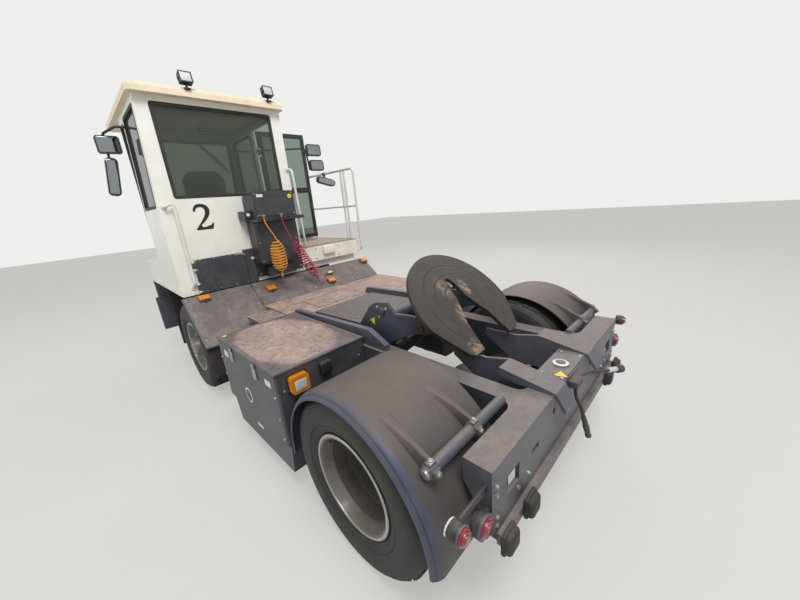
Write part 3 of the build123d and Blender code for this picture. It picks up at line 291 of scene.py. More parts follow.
def make_scuffs():
    """Small chips and rubbed streaks where hands, boots and hoses touch the paint."""
    group, source, target = make_group(
        "scuffs", [("Paint", tone(80, 82, 90)), ("Bare", tone(150, 146, 140)), ("Amount", 0.5)],
        [("Colour", "NodeSocketColor"), ("Mask", "NodeSocketFloat")],
    )
    chips = step(group, (-500, 200), noise(group, (-700, 200), 46.0, 3.0, 0.5), 0.665, 0.70)
    where = step(group, (-500, -50), noise(group, (-700, -50), 2.6, 3.0, 0.5), 0.50, 0.66)
    both = sum_of(group, (-200, 100), "MULTIPLY", chips, where)
    mask = sum_of(group, (0, 100), "MULTIPLY", both, source.outputs["Amount"])
    colour = blend_of(group, (300, 100), mask, source.outputs["Paint"], source.outputs["Bare"])
    group.links.new(colour, target.inputs["Colour"])
    group.links.new(mask, target.inputs["Mask"])
    return group


yard_dust = make_yard_dust()
scuffs = make_scuffs()


def new_finish(name, metallic=0.0):
    """An empty material with its shader."""
    finish = bpy.data.materials.new(name)
    finish.use_nodes = True
    tree = finish.node_tree
    shader = tree.nodes["Principled BSDF"]
    shader.location = (900, 0)
    tree.nodes["Material Output"].location = (1200, 0)
    shader.inputs["Metallic"].default_value = metallic
    return finish, tree, shader


def relief(tree, shader, height, strength, distance):
    """A bump on the shader from a height."""
    bump = lay_node(tree, "ShaderNodeBump", (650, -350), Strength=strength, Distance=distance)
    tree.links.new(height, bump.inputs["Height"])
    tree.links.new(bump.outputs["Normal"], shader.inputs["Normal"])
    return bump


def dusty_finish(name, paint, dust, top, sides, shine, metallic=0.0, grain=(90.0, 0.12, 0.0006), chips=0.5,
                 bare=(150, 146, 140), mottle=0.12, under=None):
    """A finish under yard dust: its clean colour, wear, grain and the dust that lies on it."""
    finish, tree, shader = new_finish(name, metallic)
    cloud = step(tree, (-500, 350), noise(tree, (-700, 350), 3.3, 6.0, 0.6), 0.3, 0.7)
    deeper = tone(*[value * (1 - mottle) for value in paint])
    clean = blend_of(tree, (-250, 300), cloud, deeper, tone(*paint)) if under is None else under(tree)
    worn = lay_node(tree, "ShaderNodeGroup", (0, 250))
    worn.node_tree = scuffs
    worn.inputs["Bare"].default_value = tone(*bare)
    worn.inputs["Amount"].default_value = chips
    tree.links.new(clean, worn.inputs["Paint"])
    film = lay_node(tree, "ShaderNodeGroup", (300, 200))
    film.node_tree = yard_dust
    film.inputs["Dust"].default_value = tone(*dust)
    film.inputs["Top"].default_value = top
    film.inputs["Sides"].default_value = sides
    film.inputs["Shine"].default_value = shine
    tree.links.new(worn.outputs["Colour"], film.inputs["Paint"])
    tree.links.new(film.outputs["Colour"], shader.inputs["Base Color"])
    tree.links.new(film.outputs["Roughness"], shader.inputs["Roughness"])
    scale, strength, distance = grain
    relief(tree, shader, noise(tree, (300, -350), scale, 6.0, 0.65), strength, distance)
    return finish


def seen_from(tree, at, **place):
    """The object's coordinates as a placed frame sees them."""
    node = lay_node(tree, "ShaderNodeMapping", at, vector_type="TEXTURE", **place)
    tree.links.new(coords_of(tree, (at[0] - 200, at[1])), node.inputs["Vector"])
    return node.outputs[0]


def length_of(tree, at, source):
    """The length of a vector."""
    node = lay_node(tree, "ShaderNodeVectorMath", at, operation="LENGTH")
    tree.links.new(source, node.inputs[0])
    return node.outputs["Value"]


def near(tree, at, centre, reach, stretch):
    """A soft mask of 1 at a place on the object that falls to 0 at its reach."""
    place = seen_from(tree, (at[0] - 400, at[1]), Location=centre, Scale=[reach * s for s in stretch])
    return step(tree, at, length_of(tree, (at[0] - 200, at[1]), place), 1.0, 0.55)


slate = (74, 77, 87)
yard_brown = (138, 121, 106)
chassis_coat = dusty_finish("chassis_slate_paint", slate, yard_brown, 0.62, 0.30, 0.42)
deck_coat = dusty_finish("deck_dusty_paint", (86, 82, 82), (200, 172, 158), 0.98, 0.35, 0.5, chips=0.8)
boom_coat = dusty_finish("boom_blue_slate_paint", (60, 65, 80), yard_brown, 0.66, 0.18, 0.4)
box_coat = dusty_finish("side_box_paint", (62, 63, 69), (192, 166, 154), 0.9, 0.14, 0.45)


def wear_field(finish, centre, reach, stretch, rim, middle):
    """Dust that lies thick in a worn field and thin around it."""
    tree = finish.node_tree
    film = [node for node in tree.nodes if node.type == "GROUP" and node.node_tree == yard_dust][0]
    ragged = sum_of(
        tree, (-300, -700), "MULTIPLY_ADD", noise(tree, (-500, -700), 4.5, 6.0, 0.6), 0.5,
        near(tree, (-600, -950), centre, reach, stretch))
    field = step(tree, (-100, -700), ragged, 0.50, 0.72)
    amount = sum_of(tree, (100, -700), "MULTIPLY_ADD", field, middle - rim, rim)
    tree.links.new(amount, film.inputs["Top"])


wear_field(box_coat, (-0.74, 0.90, 0.985), 0.66, (1.0, 0.62, 1.0), 0.30, 1.0)
cab_coat = dusty_finish(
    "cab_white_paint", (232, 230, 220), (176, 158, 136), 0.35, 0.14, 0.33, chips=0.25, bare=(150, 140, 126),
    mottle=0.03)
roof_coat = dusty_finish("roof_cream_moulding", (228, 212, 184), (170, 150, 126), 0.4, 0.2, 0.5, chips=0.1, mottle=0.05)
rail_coat = dusty_finish("rail_white_paint", (226, 224, 214), (160, 140, 118), 0.3, 0.16, 0.35, chips=0.6)
guard_coat_plain = (68, 62, 61)


def guard_colours(tree):
    """The guard's dark moulding, with a bluish band along its outer edge."""
    side = sum_of(tree, (-900, 600), "ABSOLUTE", along(tree, (-1100, 600), "Y"))
    band = step(tree, (-600, 600), side, 1.19, 1.212)
    line = step(tree, (-600, 800), side, 1.228, 1.231)
    lined = sum_of(tree, (-350, 800), "MULTIPLY", line, step(tree, (-600, 950), side, 1.238, 1.235))
    blue = blend_of(tree, (-150, 700), lined, tone(54, 60, 78), tone(34, 38, 48))
    return blend_of(tree, (50, 600), band, tone(*guard_coat_plain), blue)


guard_coat = dusty_finish(
    "mudguard_moulding", guard_coat_plain, (112, 99, 90), 0.55, 0.26, 0.5, grain=(150.0, 0.2, 0.0008), chips=0.2,
    under=guard_colours)


def platform_colours(tree):
    """Cab white below, with the worn brown walking surface on top."""
    top = step(tree, (-600, 600), along(tree, (-900, 600), "Z", "Normal"), 0.5, 0.8)
    return blend_of(tree, (-350, 600), top, tone(228, 222, 206), tone(112, 84, 66))


base_coat = dusty_finish(
    "platform_paint", (228, 222, 206), (150, 122, 98), 0.75, 0.22, 0.45, chips=0.3, under=platform_colours)


def plate_colours(tree):
    """Greasy coupling steel with sand-coloured rubbed metal by the throat and at the horn tips."""
    base = blend_of(
        tree, (-900, 700), step(tree, (-1100, 700), noise(tree, (-1300, 700), 9.0, 8.0, 0.7), 0.35, 0.7),
        tone(34, 30, 27), tone(52, 46, 41))
    patches = (
        ((-1.80, 0.100, 1.41), 0.16, (0.9, 0.55, 1.0)), ((-1.93, 0.105, 1.16), 0.11, (1, 0.7, 1)),
        ((-2.075, 0.235, 0.985), 0.085, (1, 1, 1)), ((-1.80, -0.110, 1.31), 0.09, (1, 0.6, 1)),
    )
    colour = base
    for k, (centre, reach, stretch) in enumerate(patches):
        mask = near(tree, (-700, 900 + 260 * k), centre, reach, stretch)
        broken = step(tree, (-700, 1000 + 260 * k), noise(tree, (-900, 1050 + 260 * k), 30.0, 6.0, 0.7), 0.38, 0.6)
        both = sum_of(tree, (-500, 900 + 260 * k), "MULTIPLY", mask, broken)
        colour = blend_of(tree, (-300, 900 + 260 * k), both, colour, tone(142, 118, 94))
    return colour


def make_plate_finish():
    """The coupling plate's finish with its ring grooves."""
    finish = dusty_finish(
        "fifth_wheel_greased_steel", (60, 54, 48), (84, 74, 64), 0.3, 0.16, 0.5,
        grain=(60.0, 0.3, 0.0012), chips=0.3, under=plate_colours)
    tree = finish.node_tree
    shader = tree.nodes["Principled BSDF"]
    place = seen_from(
        tree, (-200, -900), Location=(coupling_x - 0.0956, 0, coupling_z + 0.0884), Rotation=(0, coupling_tilt, 0))
    flat = lay_node(tree, "ShaderNodeVectorMath", (0, -900), operation="MULTIPLY")
    flat.inputs[1].default_value = (1, 1, 0)
    tree.links.new(place, flat.inputs[0])
    off_middle = length_of(tree, (150, -900), flat.outputs[0])
    grooves = None
    for k, ring in enumerate((0.17, 0.26, 0.35)):
        y = -900 - 200 * k
        off_ring = sum_of(tree, (450, y), "ABSOLUTE", sum_of(tree, (300, y), "SUBTRACT", off_middle, ring))
        mask = step(tree, (600, y), off_ring, 0.0055, 0.003)
        grooves = mask if grooves is None else sum_of(tree, (750, y), "ADD", grooves, mask)
    bump = lay_node(tree, "ShaderNodeBump", (850, -600), Strength=0.8, Distance=0.004)
    bump.invert = True
    tree.links.new(grooves, bump.inputs["Height"])
    older = shader.inputs["Normal"].links[0].from_socket
    tree.links.new(older, bump.inputs["Normal"])
    tree.links.new(bump.outputs["Normal"], shader.inputs["Normal"])
    film = shader.inputs["Base Color"].links[0].from_socket
    tree.links.new(blend_of(tree, (900, -250), grooves, film, tone(22, 20, 18)), shader.inputs["Base Color"])
    return finish


plate_coat = make_plate_finish()
ramp_coat = dusty_finish("guide_ramp_paint", (82, 83, 92), (136, 122, 112), 0.72, 0.22, 0.42, chips=0.8)
head_coat = dusty_finish("rear_head_paint", (80, 81, 90), (142, 126, 114), 0.66, 0.34, 0.42, chips=0.8)
tyre_coat = dusty_finish(
    "tyre_rubber", (38, 37, 37), (96, 80, 68), 0.3, 0.26, 0.7, grain=(60.0, 0.25, 0.001), chips=0.0)
rim_coat = dusty_finish(
    "rim_silver_paint", (118, 115, 111), (88, 70, 56), 0.5, 0.75, 0.35, metallic=0.4, chips=0.6, bare=(96, 72, 54))
cast_coat = dusty_finish("axle_cast_iron", (66, 64, 64), (110, 92, 78), 0.6, 0.5, 0.6, grain=(50.0, 0.35, 0.002))
engine_coat = dusty_finish("engine_grey_paint", (92, 92, 92), (110, 92, 78), 0.6, 0.4, 0.55)
rubber_coat = dusty_finish("black_rubber", (34, 34, 35), (110, 96, 84), 0.45, 0.2, 0.7, chips=0.0)
flap_coat = dusty_finish("wheel_flap_rubber", (38, 37, 37), (104, 86, 72), 0.3, 0.5, 0.75, chips=0.0)
plastic_coat = dusty_finish("black_moulded_plastic", (36, 37, 39), (130, 116, 104), 0.35, 0.08, 0.5, chips=0.1)
equipment_coat = dusty_finish("equipment_box_grey", (57, 58, 63), (140, 126, 114), 0.6, 0.1, 0.42, chips=0.3)
cover_coat = dusty_finish("access_cover_paint", (60, 62, 68), (140, 126, 114), 0.5, 0.16, 0.4)
inside_coat = dusty_finish("cab_trim_grey", (58, 59, 62), (110, 104, 98), 0.25, 0.1, 0.6, chips=0.0)
zinc_coat = dusty_finish(
    "zinc_plate", (176, 174, 168), (140, 124, 108), 0.35, 0.3, 0.32, metallic=0.8, chips=0.3, bare=(120, 96, 76))
chrome_coat = dusty_finish("rod_chrome", (205, 206, 208), (120, 104, 92), 0.25, 0.18, 0.12, metallic=1.0, chips=0.0)
mirror_glass = dusty_finish(
    "mirror_silvering", (150, 156, 160), (150, 140, 130), 0.1, 0.06, 0.04, metallic=1.0, chips=0.0)
brass_coat = dusty_finish("brass_fitting", (186, 170, 128), (120, 100, 80), 0.35, 0.25, 0.3, metallic=0.9, chips=0.0)
yellow_hose_coat = dusty_finish(
    "yellow_hose_nylon", (232, 158, 34), (150, 110, 60), 0.3, 0.15, 0.32, chips=0.0, mottle=0.1)
red_hose_coat = dusty_finish(
    "crimson_hose_nylon", (176, 32, 58), (120, 60, 56), 0.25, 0.15, 0.32, chips=0.0, mottle=0.15)
dark_hose_coat = dusty_finish("dark_hose_rubber", (52, 46, 43), (110, 92, 78), 0.4, 0.4, 0.65, chips=0.0)
pale_sleeve_coat = dusty_finish("pale_hose_sleeve", (206, 204, 198), (150, 130, 110), 0.4, 0.3, 0.5, chips=0.0)
sticker_yellow = dusty_finish("warning_yellow_film", (232, 206, 40), (150, 130, 90), 0.3, 0.15, 0.4, chips=0.2)
sticker_dark = dusty_finish("black_film", (26, 26, 28), (120, 108, 98), 0.2, 0.06, 0.4, chips=0.1)
sticker_white = dusty_finish("white_film", (226, 226, 222), (150, 132, 114), 0.4, 0.2, 0.4, chips=0.1)
blue_edge_coat = dusty_finish("blue_edge_paint", (76, 85, 110), (128, 116, 108), 0.5, 0.12, 0.38, chips=0.9)
seam_coat = dusty_finish("dark_joint", (30, 29, 29), (84, 74, 66), 0.3, 0.2, 0.8, chips=0.0)
blue_ring_coat = dusty_finish("blue_ring_plastic", (60, 92, 170), (120, 110, 110), 0.2, 0.1, 0.4, chips=0.0)


def make_glass(name, tint):
    """Cab glass that lets most light through and shows its tint as a pale veil over the rest, with smeared roughness.
    """
    finish, tree, shader = new_finish(name)
    smear = step(tree, (200, 300), noise(tree, (0, 300), 3.0, 6.0, 0.65), 0.35, 0.8)
    shader.inputs["Base Color"].default_value = tone(*tint)
    shader.inputs["Transmission Weight"].default_value = 0.88
    shader.inputs["IOR"].default_value = 1.2
    tree.links.new(sum_of(tree, (500, 300), "MULTIPLY_ADD", smear, 0.05, 0.02), shader.inputs["Roughness"])
    return finish


cab_glass_finish = make_glass("cab_tinted_glass", (148, 156, 146))
door_glass_finish = make_glass("door_green_glass", (140, 156, 146))


def waves_of(tree, at, direction, **values):
    """Waves along one of the object's axes."""
    wave = lay_node(tree, "ShaderNodeTexWave", at, bands_direction=direction, **values)
    tree.links.new(coords_of(tree, (at[0] - 200, at[1])), wave.inputs["Vector"])
    return wave.outputs["Fac"]


def make_lens(name, colour, bars):
    """A moulded lamp lens with fine prism bars."""
    finish, tree, shader = new_finish(name)
    wave = waves_of(tree, (-200, 0), "Y", Scale=bars)
    deep = tone(*[value * 0.62 for value in colour])
    tree.links.new(blend_of(tree, (200, 200), wave, deep, tone(*colour)), shader.inputs["Base Color"])
    dirt = step(tree, (200, -100), noise(tree, (0, -100), 18.0, 5.0, 0.6), 0.3, 0.8)
    tree.links.new(sum_of(tree, (400, -100), "MULTIPLY_ADD", dirt, 0.2, 0.12), shader.inputs["Roughness"])
    relief(tree, shader, wave, 0.4, 0.001)
    shader.inputs["Coat Weight"].default_value = 0.4
    return finish


amber_lens = make_lens("amber_lens", (240, 140, 24), 60.0)
red_lens = make_lens("red_lens", (150, 14, 28), 70.0)
clear_lens = make_lens("clear_lens", (216, 220, 222), 80.0)


def make_seat_cloth():
    """Woven seat cloth, dark grey, with its threads in the bump."""
    finish, tree, shader = new_finish("seat_cloth")
    waves = [
        waves_of(tree, (-450, -250 * k), direction, Scale=110.0, Distortion=0.6) for k, direction in enumerate("XYZ")]
    weave = sum_of(tree, (-200, 0), "MULTIPLY", sum_of(tree, (-250, -200), "ADD", waves[0], waves[2]), waves[1])
    cloud = step(tree, (-200, 300), noise(tree, (-450, 400), 7.0, 5.0, 0.6), 0.3, 0.75)
    shade = blend_of(tree, (100, 300), cloud, tone(46, 47, 50), tone(66, 67, 70))
    tree.links.new(blend_of(tree, (350, 200), weave, tone(38, 39, 42), shade), shader.inputs["Base Color"])
    tree.links.new(step(tree, (350, -100), weave, -2.0, 1.2), shader.inputs["Roughness"])
    shader.inputs["Sheen Weight"].default_value = 0.3
    relief(tree, shader, weave, 0.35, 0.0008)
    return finish


seat_cloth = make_seat_cloth()


# Hands: how pieces are started, picked up, shaped and finished

def let_go():
    """Nothing is selected, and no piece is in edit mode."""
    if bpy.context.object is not None and bpy.context.object.mode != "OBJECT":
        bpy.ops.object.mode_set(mode="OBJECT")
    bpy.ops.object.select_all(action="DESELECT")


def take_up(piece):
    """Only this piece is selected and active."""
    let_go()
    piece.select_set(True)
    bpy.context.view_layer.objects.active = piece


def settle(piece):
    """The piece's place, turn and scale go into its mesh."""
    take_up(piece)
    bpy.ops.object.transform_apply(location=True, rotation=True, scale=True)


def block_stock(name, size, centre, turn=(0, 0, 0)):
    """A rectangular blank about its centre."""
    let_go()
    bpy.ops.mesh.primitive_cube_add(size=1, location=centre, rotation=turn)
    piece = bpy.context.object
    piece.name = name
    piece.scale = size
    settle(piece)
    return piece


def round_stock(name, radius, length, centre, lie="Z", sides=32):
    """A round blank about its centre, along one axis."""
    let_go()
    turn = {"X": (0, pi / 2, 0), "Y": (pi / 2, 0, 0), "Z": (0, 0, 0)}[lie]
    bpy.ops.mesh.primitive_cylinder_add(
        vertices=sides, radius=radius, depth=length, location=centre, rotation=turn)
    piece = bpy.context.object
    piece.name = name
    settle(piece)
    return piece


def pick(piece, wanted):
    """Edit mode with only those faces selected whose middle and normal are wanted."""
    take_up(piece)
    bpy.ops.object.mode_set(mode="EDIT")
    bpy.ops.mesh.select_mode(type="FACE")
    bpy.ops.mesh.select_all(action="DESELECT")
    shape = bmesh.from_edit_mesh(piece.data)
    shape.normal_update()
    for face in shape.faces:
        if wanted(face.calc_center_median(), face.normal):
            face.select_set(True)
    bmesh.update_edit_mesh(piece.data)


def put_down():
    """Back to object mode."""
    bpy.ops.object.mode_set(mode="OBJECT")


def inset(depth, lift=0.0, each=False):
    """Inset the picked faces, and push the inner part out or in."""
    bpy.ops.mesh.inset(thickness=depth, depth=lift, use_individual=each)


def pull(vector):
    """Extrude the picked faces by a vector."""
    bpy.ops.mesh.extrude_region_move(TRANSFORM_OT_translate={"value": vector})


def trim(piece, facing, depth, lift=0.0):
    """Inset the faces of a piece that face one way, and push their middle out or in."""
    way = Vector(facing)
    pick(piece, lambda middle, normal: normal.dot(way) > 0.9)
    inset(depth, lift)
    put_down()


def open_up(piece):
    """Edit mode with the whole piece selected."""
    take_up(piece)
    bpy.ops.object.mode_set(mode="EDIT")
    bpy.ops.mesh.select_all(action="SELECT")


def close_up(merge=0.0):
    """Merge what coincides, turn every face outwards and leave edit mode."""
    bpy.ops.mesh.select_all(action="SELECT")
    if merge:
        bpy.ops.mesh.remove_doubles(threshold=merge)
    bpy.ops.mesh.normals_make_consistent(inside=False)
    put_down()


def outline(name, places, fill="NOTHING"):
    """A closed outline through the places, started from a circle and open for editing."""
    let_go()
    bpy.ops.mesh.primitive_circle_add(vertices=len(places), radius=0.2, location=(0, 0, 0), fill_type=fill)
    piece = bpy.context.object
    piece.name = name
    for vertex, place in zip(piece.data.vertices, places):
        vertex.co = place
    open_up(piece)
    return piece


def shape_with(piece, kind, **settings):
    """A modifier with its settings, applied to the piece."""
    take_up(piece)
    bpy.ops.object.modifier_add(type=kind)
    modifier = piece.modifiers[-1]
    for name, value in settings.items():
        setattr(modifier, name, value)
    bpy.ops.object.modifier_apply(modifier=modifier.name)


def soften(piece, width, segments=2, angle=40):
    """Round the sharp edges of a piece."""
    shape_with(piece, "BEVEL", width=width, segments=segments, limit_method="ANGLE", angle_limit=radians(angle))


def together(name, pieces):
    """Several pieces joined to one object."""
    let_go()
    for piece in pieces:
        piece.select_set(True)
    bpy.context.view_layer.objects.active = pieces[0]
    if len(pieces) > 1:
        bpy.ops.object.join()
    whole = bpy.context.object
    whole.name = name
    settle(whole)
    return whole


def copy_to(piece, places):
    """Copies of a piece, each with its own mesh, at the places; the first one is used up."""
    made = []
    for place in places:
        twin = piece.copy()
        twin.data = piece.data.copy()
        twin.data.transform(place)
        bpy.context.scene.collection.objects.link(twin)
        made.append(twin)
    bpy.data.objects.remove(piece)
    return made


def leaned(point, angle, axis="Y"):
    """The place of a piece drawn on the origin, at a point and turned about one axis."""
    return Matrix.Translation(point) @ Matrix.Rotation(angle, 4, axis)


def upright_to(point, normal, spin=0.0):
    """The place of a piece drawn on the origin along +Z, stood at a point along a normal."""
    turn = Vector(normal).to_track_quat("Z", "Y").to_matrix().to_4x4()
    return Matrix.Translation(point) @ turn @ Matrix.Rotation(spin, 4, "Z")


def dress(piece, body, coat, slot, *stands_for, smooth=35):
    """The piece gets its finish, its shading and the body that it rides on."""
    piece.data.materials.clear()
    piece.data.materials.append(coat)
    take_up(piece)
    bpy.ops.object.shade_smooth_by_angle(angle=radians(smooth))
    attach(piece, body)
    if stands_for:
        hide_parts(*stands_for)
    return piece


def fit(name, pieces, coat, slot, *stands_for, body="chassis", smooth=35):
    """Several pieces joined to one, dressed and set on their body."""
    return dress(together(name, pieces), body, coat, slot, *stands_for, smooth=smooth)


def bolt_head(radius):
    """One hexagon head on its washer, standing on the origin."""
    head = round_stock("bolt_head", radius, 0.75 * radius, (0, 0, 0.6 * radius), "Z", 6)
    trim(head, UP, 0.14 * radius, 0.1 * radius)
    washer = round_stock("bolt_washer", 1.35 * radius, 0.26 * radius, (0, 0, 0.13 * radius), "Z", 14)
    trim(washer, UP, 0.08 * radius, 0.05 * radius)
    return together("bolt", [head, washer])


def set_bolts(name, body, radius, spots, coat, slot="chassis_paint"):
    """A set of bolt heads at points with their normals, as one piece."""
    places = [upright_to(point, normal, 0.4 * k) for k, (point, normal) in enumerate(spots)]
    return dress(together(name, copy_to(bolt_head(radius), places)), body, coat, slot, smooth=25)


# Wheels

tread_r = 0.512
tread_depth = 0.0094
tread_steps = 90
valve_ring_r = 0.262


def spun_about_axle(name, section, axle_x, y, steps, out=1):
    """A closed section in radius and width, spun once about an axle."""
    piece = outline(name, [(axle_x, y + out * w, wheel_z + r) for r, w in section])
    bpy.ops.mesh.spin(steps=steps, angle=2 * pi, center=(axle_x, y, wheel_z), axis=(0, 1, 0))
    close_up(0.0002)
    return piece


def mould_tyre(name, centre_y, axle_x):
    """A tyre spun from its section, with tread ribs and shoulder blocks raised between the grooves."""
    half = 0.148
    bead = 0.1055
    upper = [
        (0.2845, bead), (0.300, bead + 0.003), (0.312, bead + 0.014), (0.330, half - 0.020), (0.352, half - 0.009),
        (0.358, half - 0.0125), (0.364, half - 0.006), (0.392, half - 0.001), (0.430, half - 0.001),
        (0.462, half - 0.004), (0.468, half - 0.0075), (0.474, half - 0.006), (0.500, half - 0.024),
        (tread_r - 0.001, half - 0.048), (tread_r, half - 0.080), (tread_r, half - 0.088),
        (tread_r, half - 0.116), (tread_r, half - 0.124),
    ]
    section = upper + [(r, -w) for r, w in reversed(upper)]
    tyre = spun_about_axle(name, section, axle_x, centre_y, tread_steps)

    def standing(middle, normal):
        """Faces of the ribs and of the shoulder blocks, with a gap in every fifth place."""
        dx, dz = middle.x - axle_x, middle.z - wheel_z
        if sqrt(dx * dx + dz * dz) < tread_r - 0.012:
            return False
        turned = 0.5 + Vector((dx, dz)).angle_signed(Vector((1, 0))) / (2 * pi)
        place = int(round(turned * tread_steps - 0.5))
        w = middle.y - centre_y
        if 0.068 < abs(w) < 0.100:
            return (place + (0 if w > 0 else 2)) % 5 != 0
        if 0.032 < abs(w) < 0.060:
            return (place + 3) % 5 != 0
        return abs(w) < 0.024

    pick(tyre, standing)
    bpy.ops.mesh.extrude_region_shrink_fatten(TRANSFORM_OT_shrink_fatten={"value": tread_depth})
    put_down()
    return tyre


for side, sign in SIDES:
    twins = [
        mould_tyre(f"rear_{where}_{side}", sign * y, rear_axle_x) for where, y in (("outer", 1.072), ("inner", 0.736))
    ]
    dress(together(f"rear_treads_{side}", twins), f"rear_wheel_{side}", tyre_coat, "tyre_rubber", f"rear_tyres_{side}")
    single = mould_tyre(f"front_tread_{side}", sign * 1.052, front_axle_x)
    dress(single, f"front_wheel_{side}", tyre_coat, "tyre_rubber", f"front_tyre_{side}")


def ring_of_nuts(name, body, axle_x, face_y, ring, count, radius):
    """Wheel nuts on a ring, standing outwards from the disc."""
    out = 1 if face_y > 0 else -1
    spots = [
        ((axle_x + ring * cos(2 * pi * k / count), face_y, wheel_z + ring * sin(2 * pi * k / count)), (0, out, 0))
        for k in range(count)
    ]
    set_bolts(name, body, radius, spots, zinc_coat, "rim_steel")


for side, sign in SIDES:
    ring_of_nuts(f"rear_wheel_nuts_{side}", f"rear_wheel_{side}", rear_axle_x, sign * 0.918, 0.168, 10, 0.017)
    ring_of_nuts(f"front_wheel_nuts_{side}", f"front_wheel_{side}", front_axle_x, sign * 1.121, 0.171, 10, 0.017)
    ring_of_nuts(f"front_hub_screws_{side}", f"front_wheel_{side}", front_axle_x, sign * 1.212, 0.072, 6, 0.007)


def rim_edge(name, body, axle_x, face_y):
    """The bright rounded edge of a rim, spun round the axle."""
    section = [(0.28, -0.010), (0.2985, -0.006), (0.3005, 0), (0.2985, 0.004), (0.292, 0.0055), (0.282, 0.0035)]
    ring = spun_about_axle(name, section, axle_x, face_y, 80, 1 if face_y > 0 else -1)
    return dress(ring, body, zinc_coat, "rim_steel", smooth=60)


for side, sign in SIDES:
    rim_edge(f"rear_rim_edge_{side}", f"rear_wheel_{side}", rear_axle_x, sign * 1.1945)
    rim_edge(f"front_rim_edge_{side}", f"front_wheel_{side}", front_axle_x, sign * 1.1745)


# Window rubbers, from the outlines of the panes themselves

def window_rubbers(node, body, band, cab_middle, depth=0.019):
    """A rubber band on the outer side of each pane of a glass node."""
    glass = parts[node]
    copy = glass.copy()
    copy.data = glass.data.copy()
    copy.parent = None
    copy.matrix_world = Matrix.Identity(4)
    for key in list(copy.keys()):
        del copy[key]
    copy.name = f"{node}_rubber"
    bpy.context.scene.collection.objects.link(copy)
    open_up(copy)
    bpy.ops.mesh.remove_doubles(threshold=0.0001)
    bpy.ops.mesh.dissolve_limited(angle_limit=radians(2))
    bpy.ops.mesh.separate(type="LOOSE")
    put_down()
    bands = []
    for pane in list(bpy.context.selected_objects):
        middle = sum((Vector(c) for c in pane.bound_box), Vector()) / 8
        outward = middle - cab_middle
        largest = max(pane.data.polygons, key=lambda p: p.area if p.normal.dot(outward) > 0 else 0)
        spot, way = largest.center.copy(), largest.normal.copy()
        pick(pane, lambda m, n: (m - spot).length < 0.002 and n.dot(way) > 0.9)
        bpy.ops.mesh.select_all(action="INVERT")
        bpy.ops.mesh.delete(type="FACE")
        bpy.ops.mesh.select_all(action="SELECT")
        inset(band)
        bpy.ops.mesh.delete(type="FACE")
        put_down()
        shape_with(pane, "SOLIDIFY", thickness=depth, offset=1)
        soften(pane, 0.004, 1)
        bands.append(pane)
    return dress(together(f"{node}_rubbers", bands), body, rubber_coat, "rubber", smooth=30)


cab_middle = Vector((1.7, 0.47, 2.4))
window_rubbers("cab_glass", "chassis", 0.03, cab_middle)


# Seat

def stuffed(name, size, centre, turn, cap, crown=0.0):
    """A padded form, swollen by cloth pressure from a slightly smaller block."""
    shrunk = 0.93
    pad = block_stock(name, [shrunk * s for s in size], (0, 0, 0))
    if crown:
        pick(pad, lambda m, n: n.z > 0.9)
        bpy.ops.transform.translate(value=(0, 0, -crown))
        pull((0, 0, crown))
        bpy.ops.transform.resize(value=(1, 0.66, 1), center_override=(0, 0, shrunk * size[2] / 2))
        put_down()
    soften(pad, min(size) * 0.30, 4)
    shape_with(pad, "REMESH", mode="VOXEL", voxel_size=0.012)
    start = [v.co.copy() for v in pad.data.vertices]
    scene = bpy.context.scene
    scene.frame_set(1)
    bpy.ops.object.modifier_add(type="CLOTH")
    cloth = pad.modifiers[-1]
    cloth.settings.use_pressure = True
    cloth.settings.uniform_pressure_force = 4.0
    cloth.settings.effector_weights.gravity = 0
    for moment in range(1, 16):
        scene.frame_set(moment)
    bpy.ops.object.modifier_apply(modifier=cloth.name)
    scene.frame_set(1)
    for vertex, origin in zip(pad.data.vertices, start):
        shift = vertex.co - origin
        if shift.length > cap:
            vertex.co = origin + shift * (cap / shift.length)
    pad.data.transform(leaned(centre, turn))
    shape_with(pad, "SUBSURF", levels=1, render_levels=1)
    dress(pad, "chassis", seat_cloth, "seat_fabric", smooth=180)
    return pad


seat_lean = -0.087
cushion = stuffed("seat_cushion", (0.49, 0.48, 0.115), (1.50, 0.59, 1.56), 0, 0.012)
stuffed("seat_backrest", (0.105, 0.50, 0.93), (1.266, 0.62, 2.055), seat_lean, 0.014, crown=0.10)
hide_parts("driver_seat")


def seat_frame():
    """The shell under the cushion and the hinge of the back."""
    pan = block_stock("seat_pan", (0.47, 0.46, 0.02), (1.50, 0.59, 1.512))
    trim(pan, DOWN, 0.05, 0.01)
    soften(pan, 0.006)
    hinge = round_stock("back_hinge", 0.035, 0.47, (1.30, 0.59, 1.575), "Y", 24)
    pick(hinge, lambda m, n: abs(n.y) > 0.9)
    inset(0.01, 0.006, each=True)
    put_down()
    return fit("seat_shell", [pan, hinge], plastic_coat, "black_plastic")


seat_frame()


# Hose couplings and plugs

def stepped_bar(name, lie, centre, stages, sides=28):
    """A turned bar along one axis from stages of a radius and a length, on its centre."""
    way = {"X": FRONT, "Y": LEFT, "Z": UP}[lie]
    first_r, first_l = stages[0]
    bar = round_stock(name, first_r, first_l, Vector(centre) + way * first_l / 2, lie, sides)
    radius, reach = first_r, first_l
    for next_r, next_l in stages[1:]:
        end = Vector(centre) + way * reach
        pick(bar, lambda m, n: n.dot(way) > 0.9 and (m - end).length < 0.001)
        pull((0, 0, 0))
        scale = next_r / radius
        bpy.ops.transform.resize(value=(scale, scale, scale), center_override=end)
        pull(way * next_l)
        put_down()
        radius, reach = next_r, reach + next_l
    soften(bar, 0.0012, 2, 50)
    return bar


def stud(name, stages, sides, place, foot=0.0):
    """A turned bar drawn along +Z on the origin and set in its place."""
    bar = stepped_bar(name, "Z", (0, 0, foot), stages, sides)
    bar.data.transform(place)
    return bar


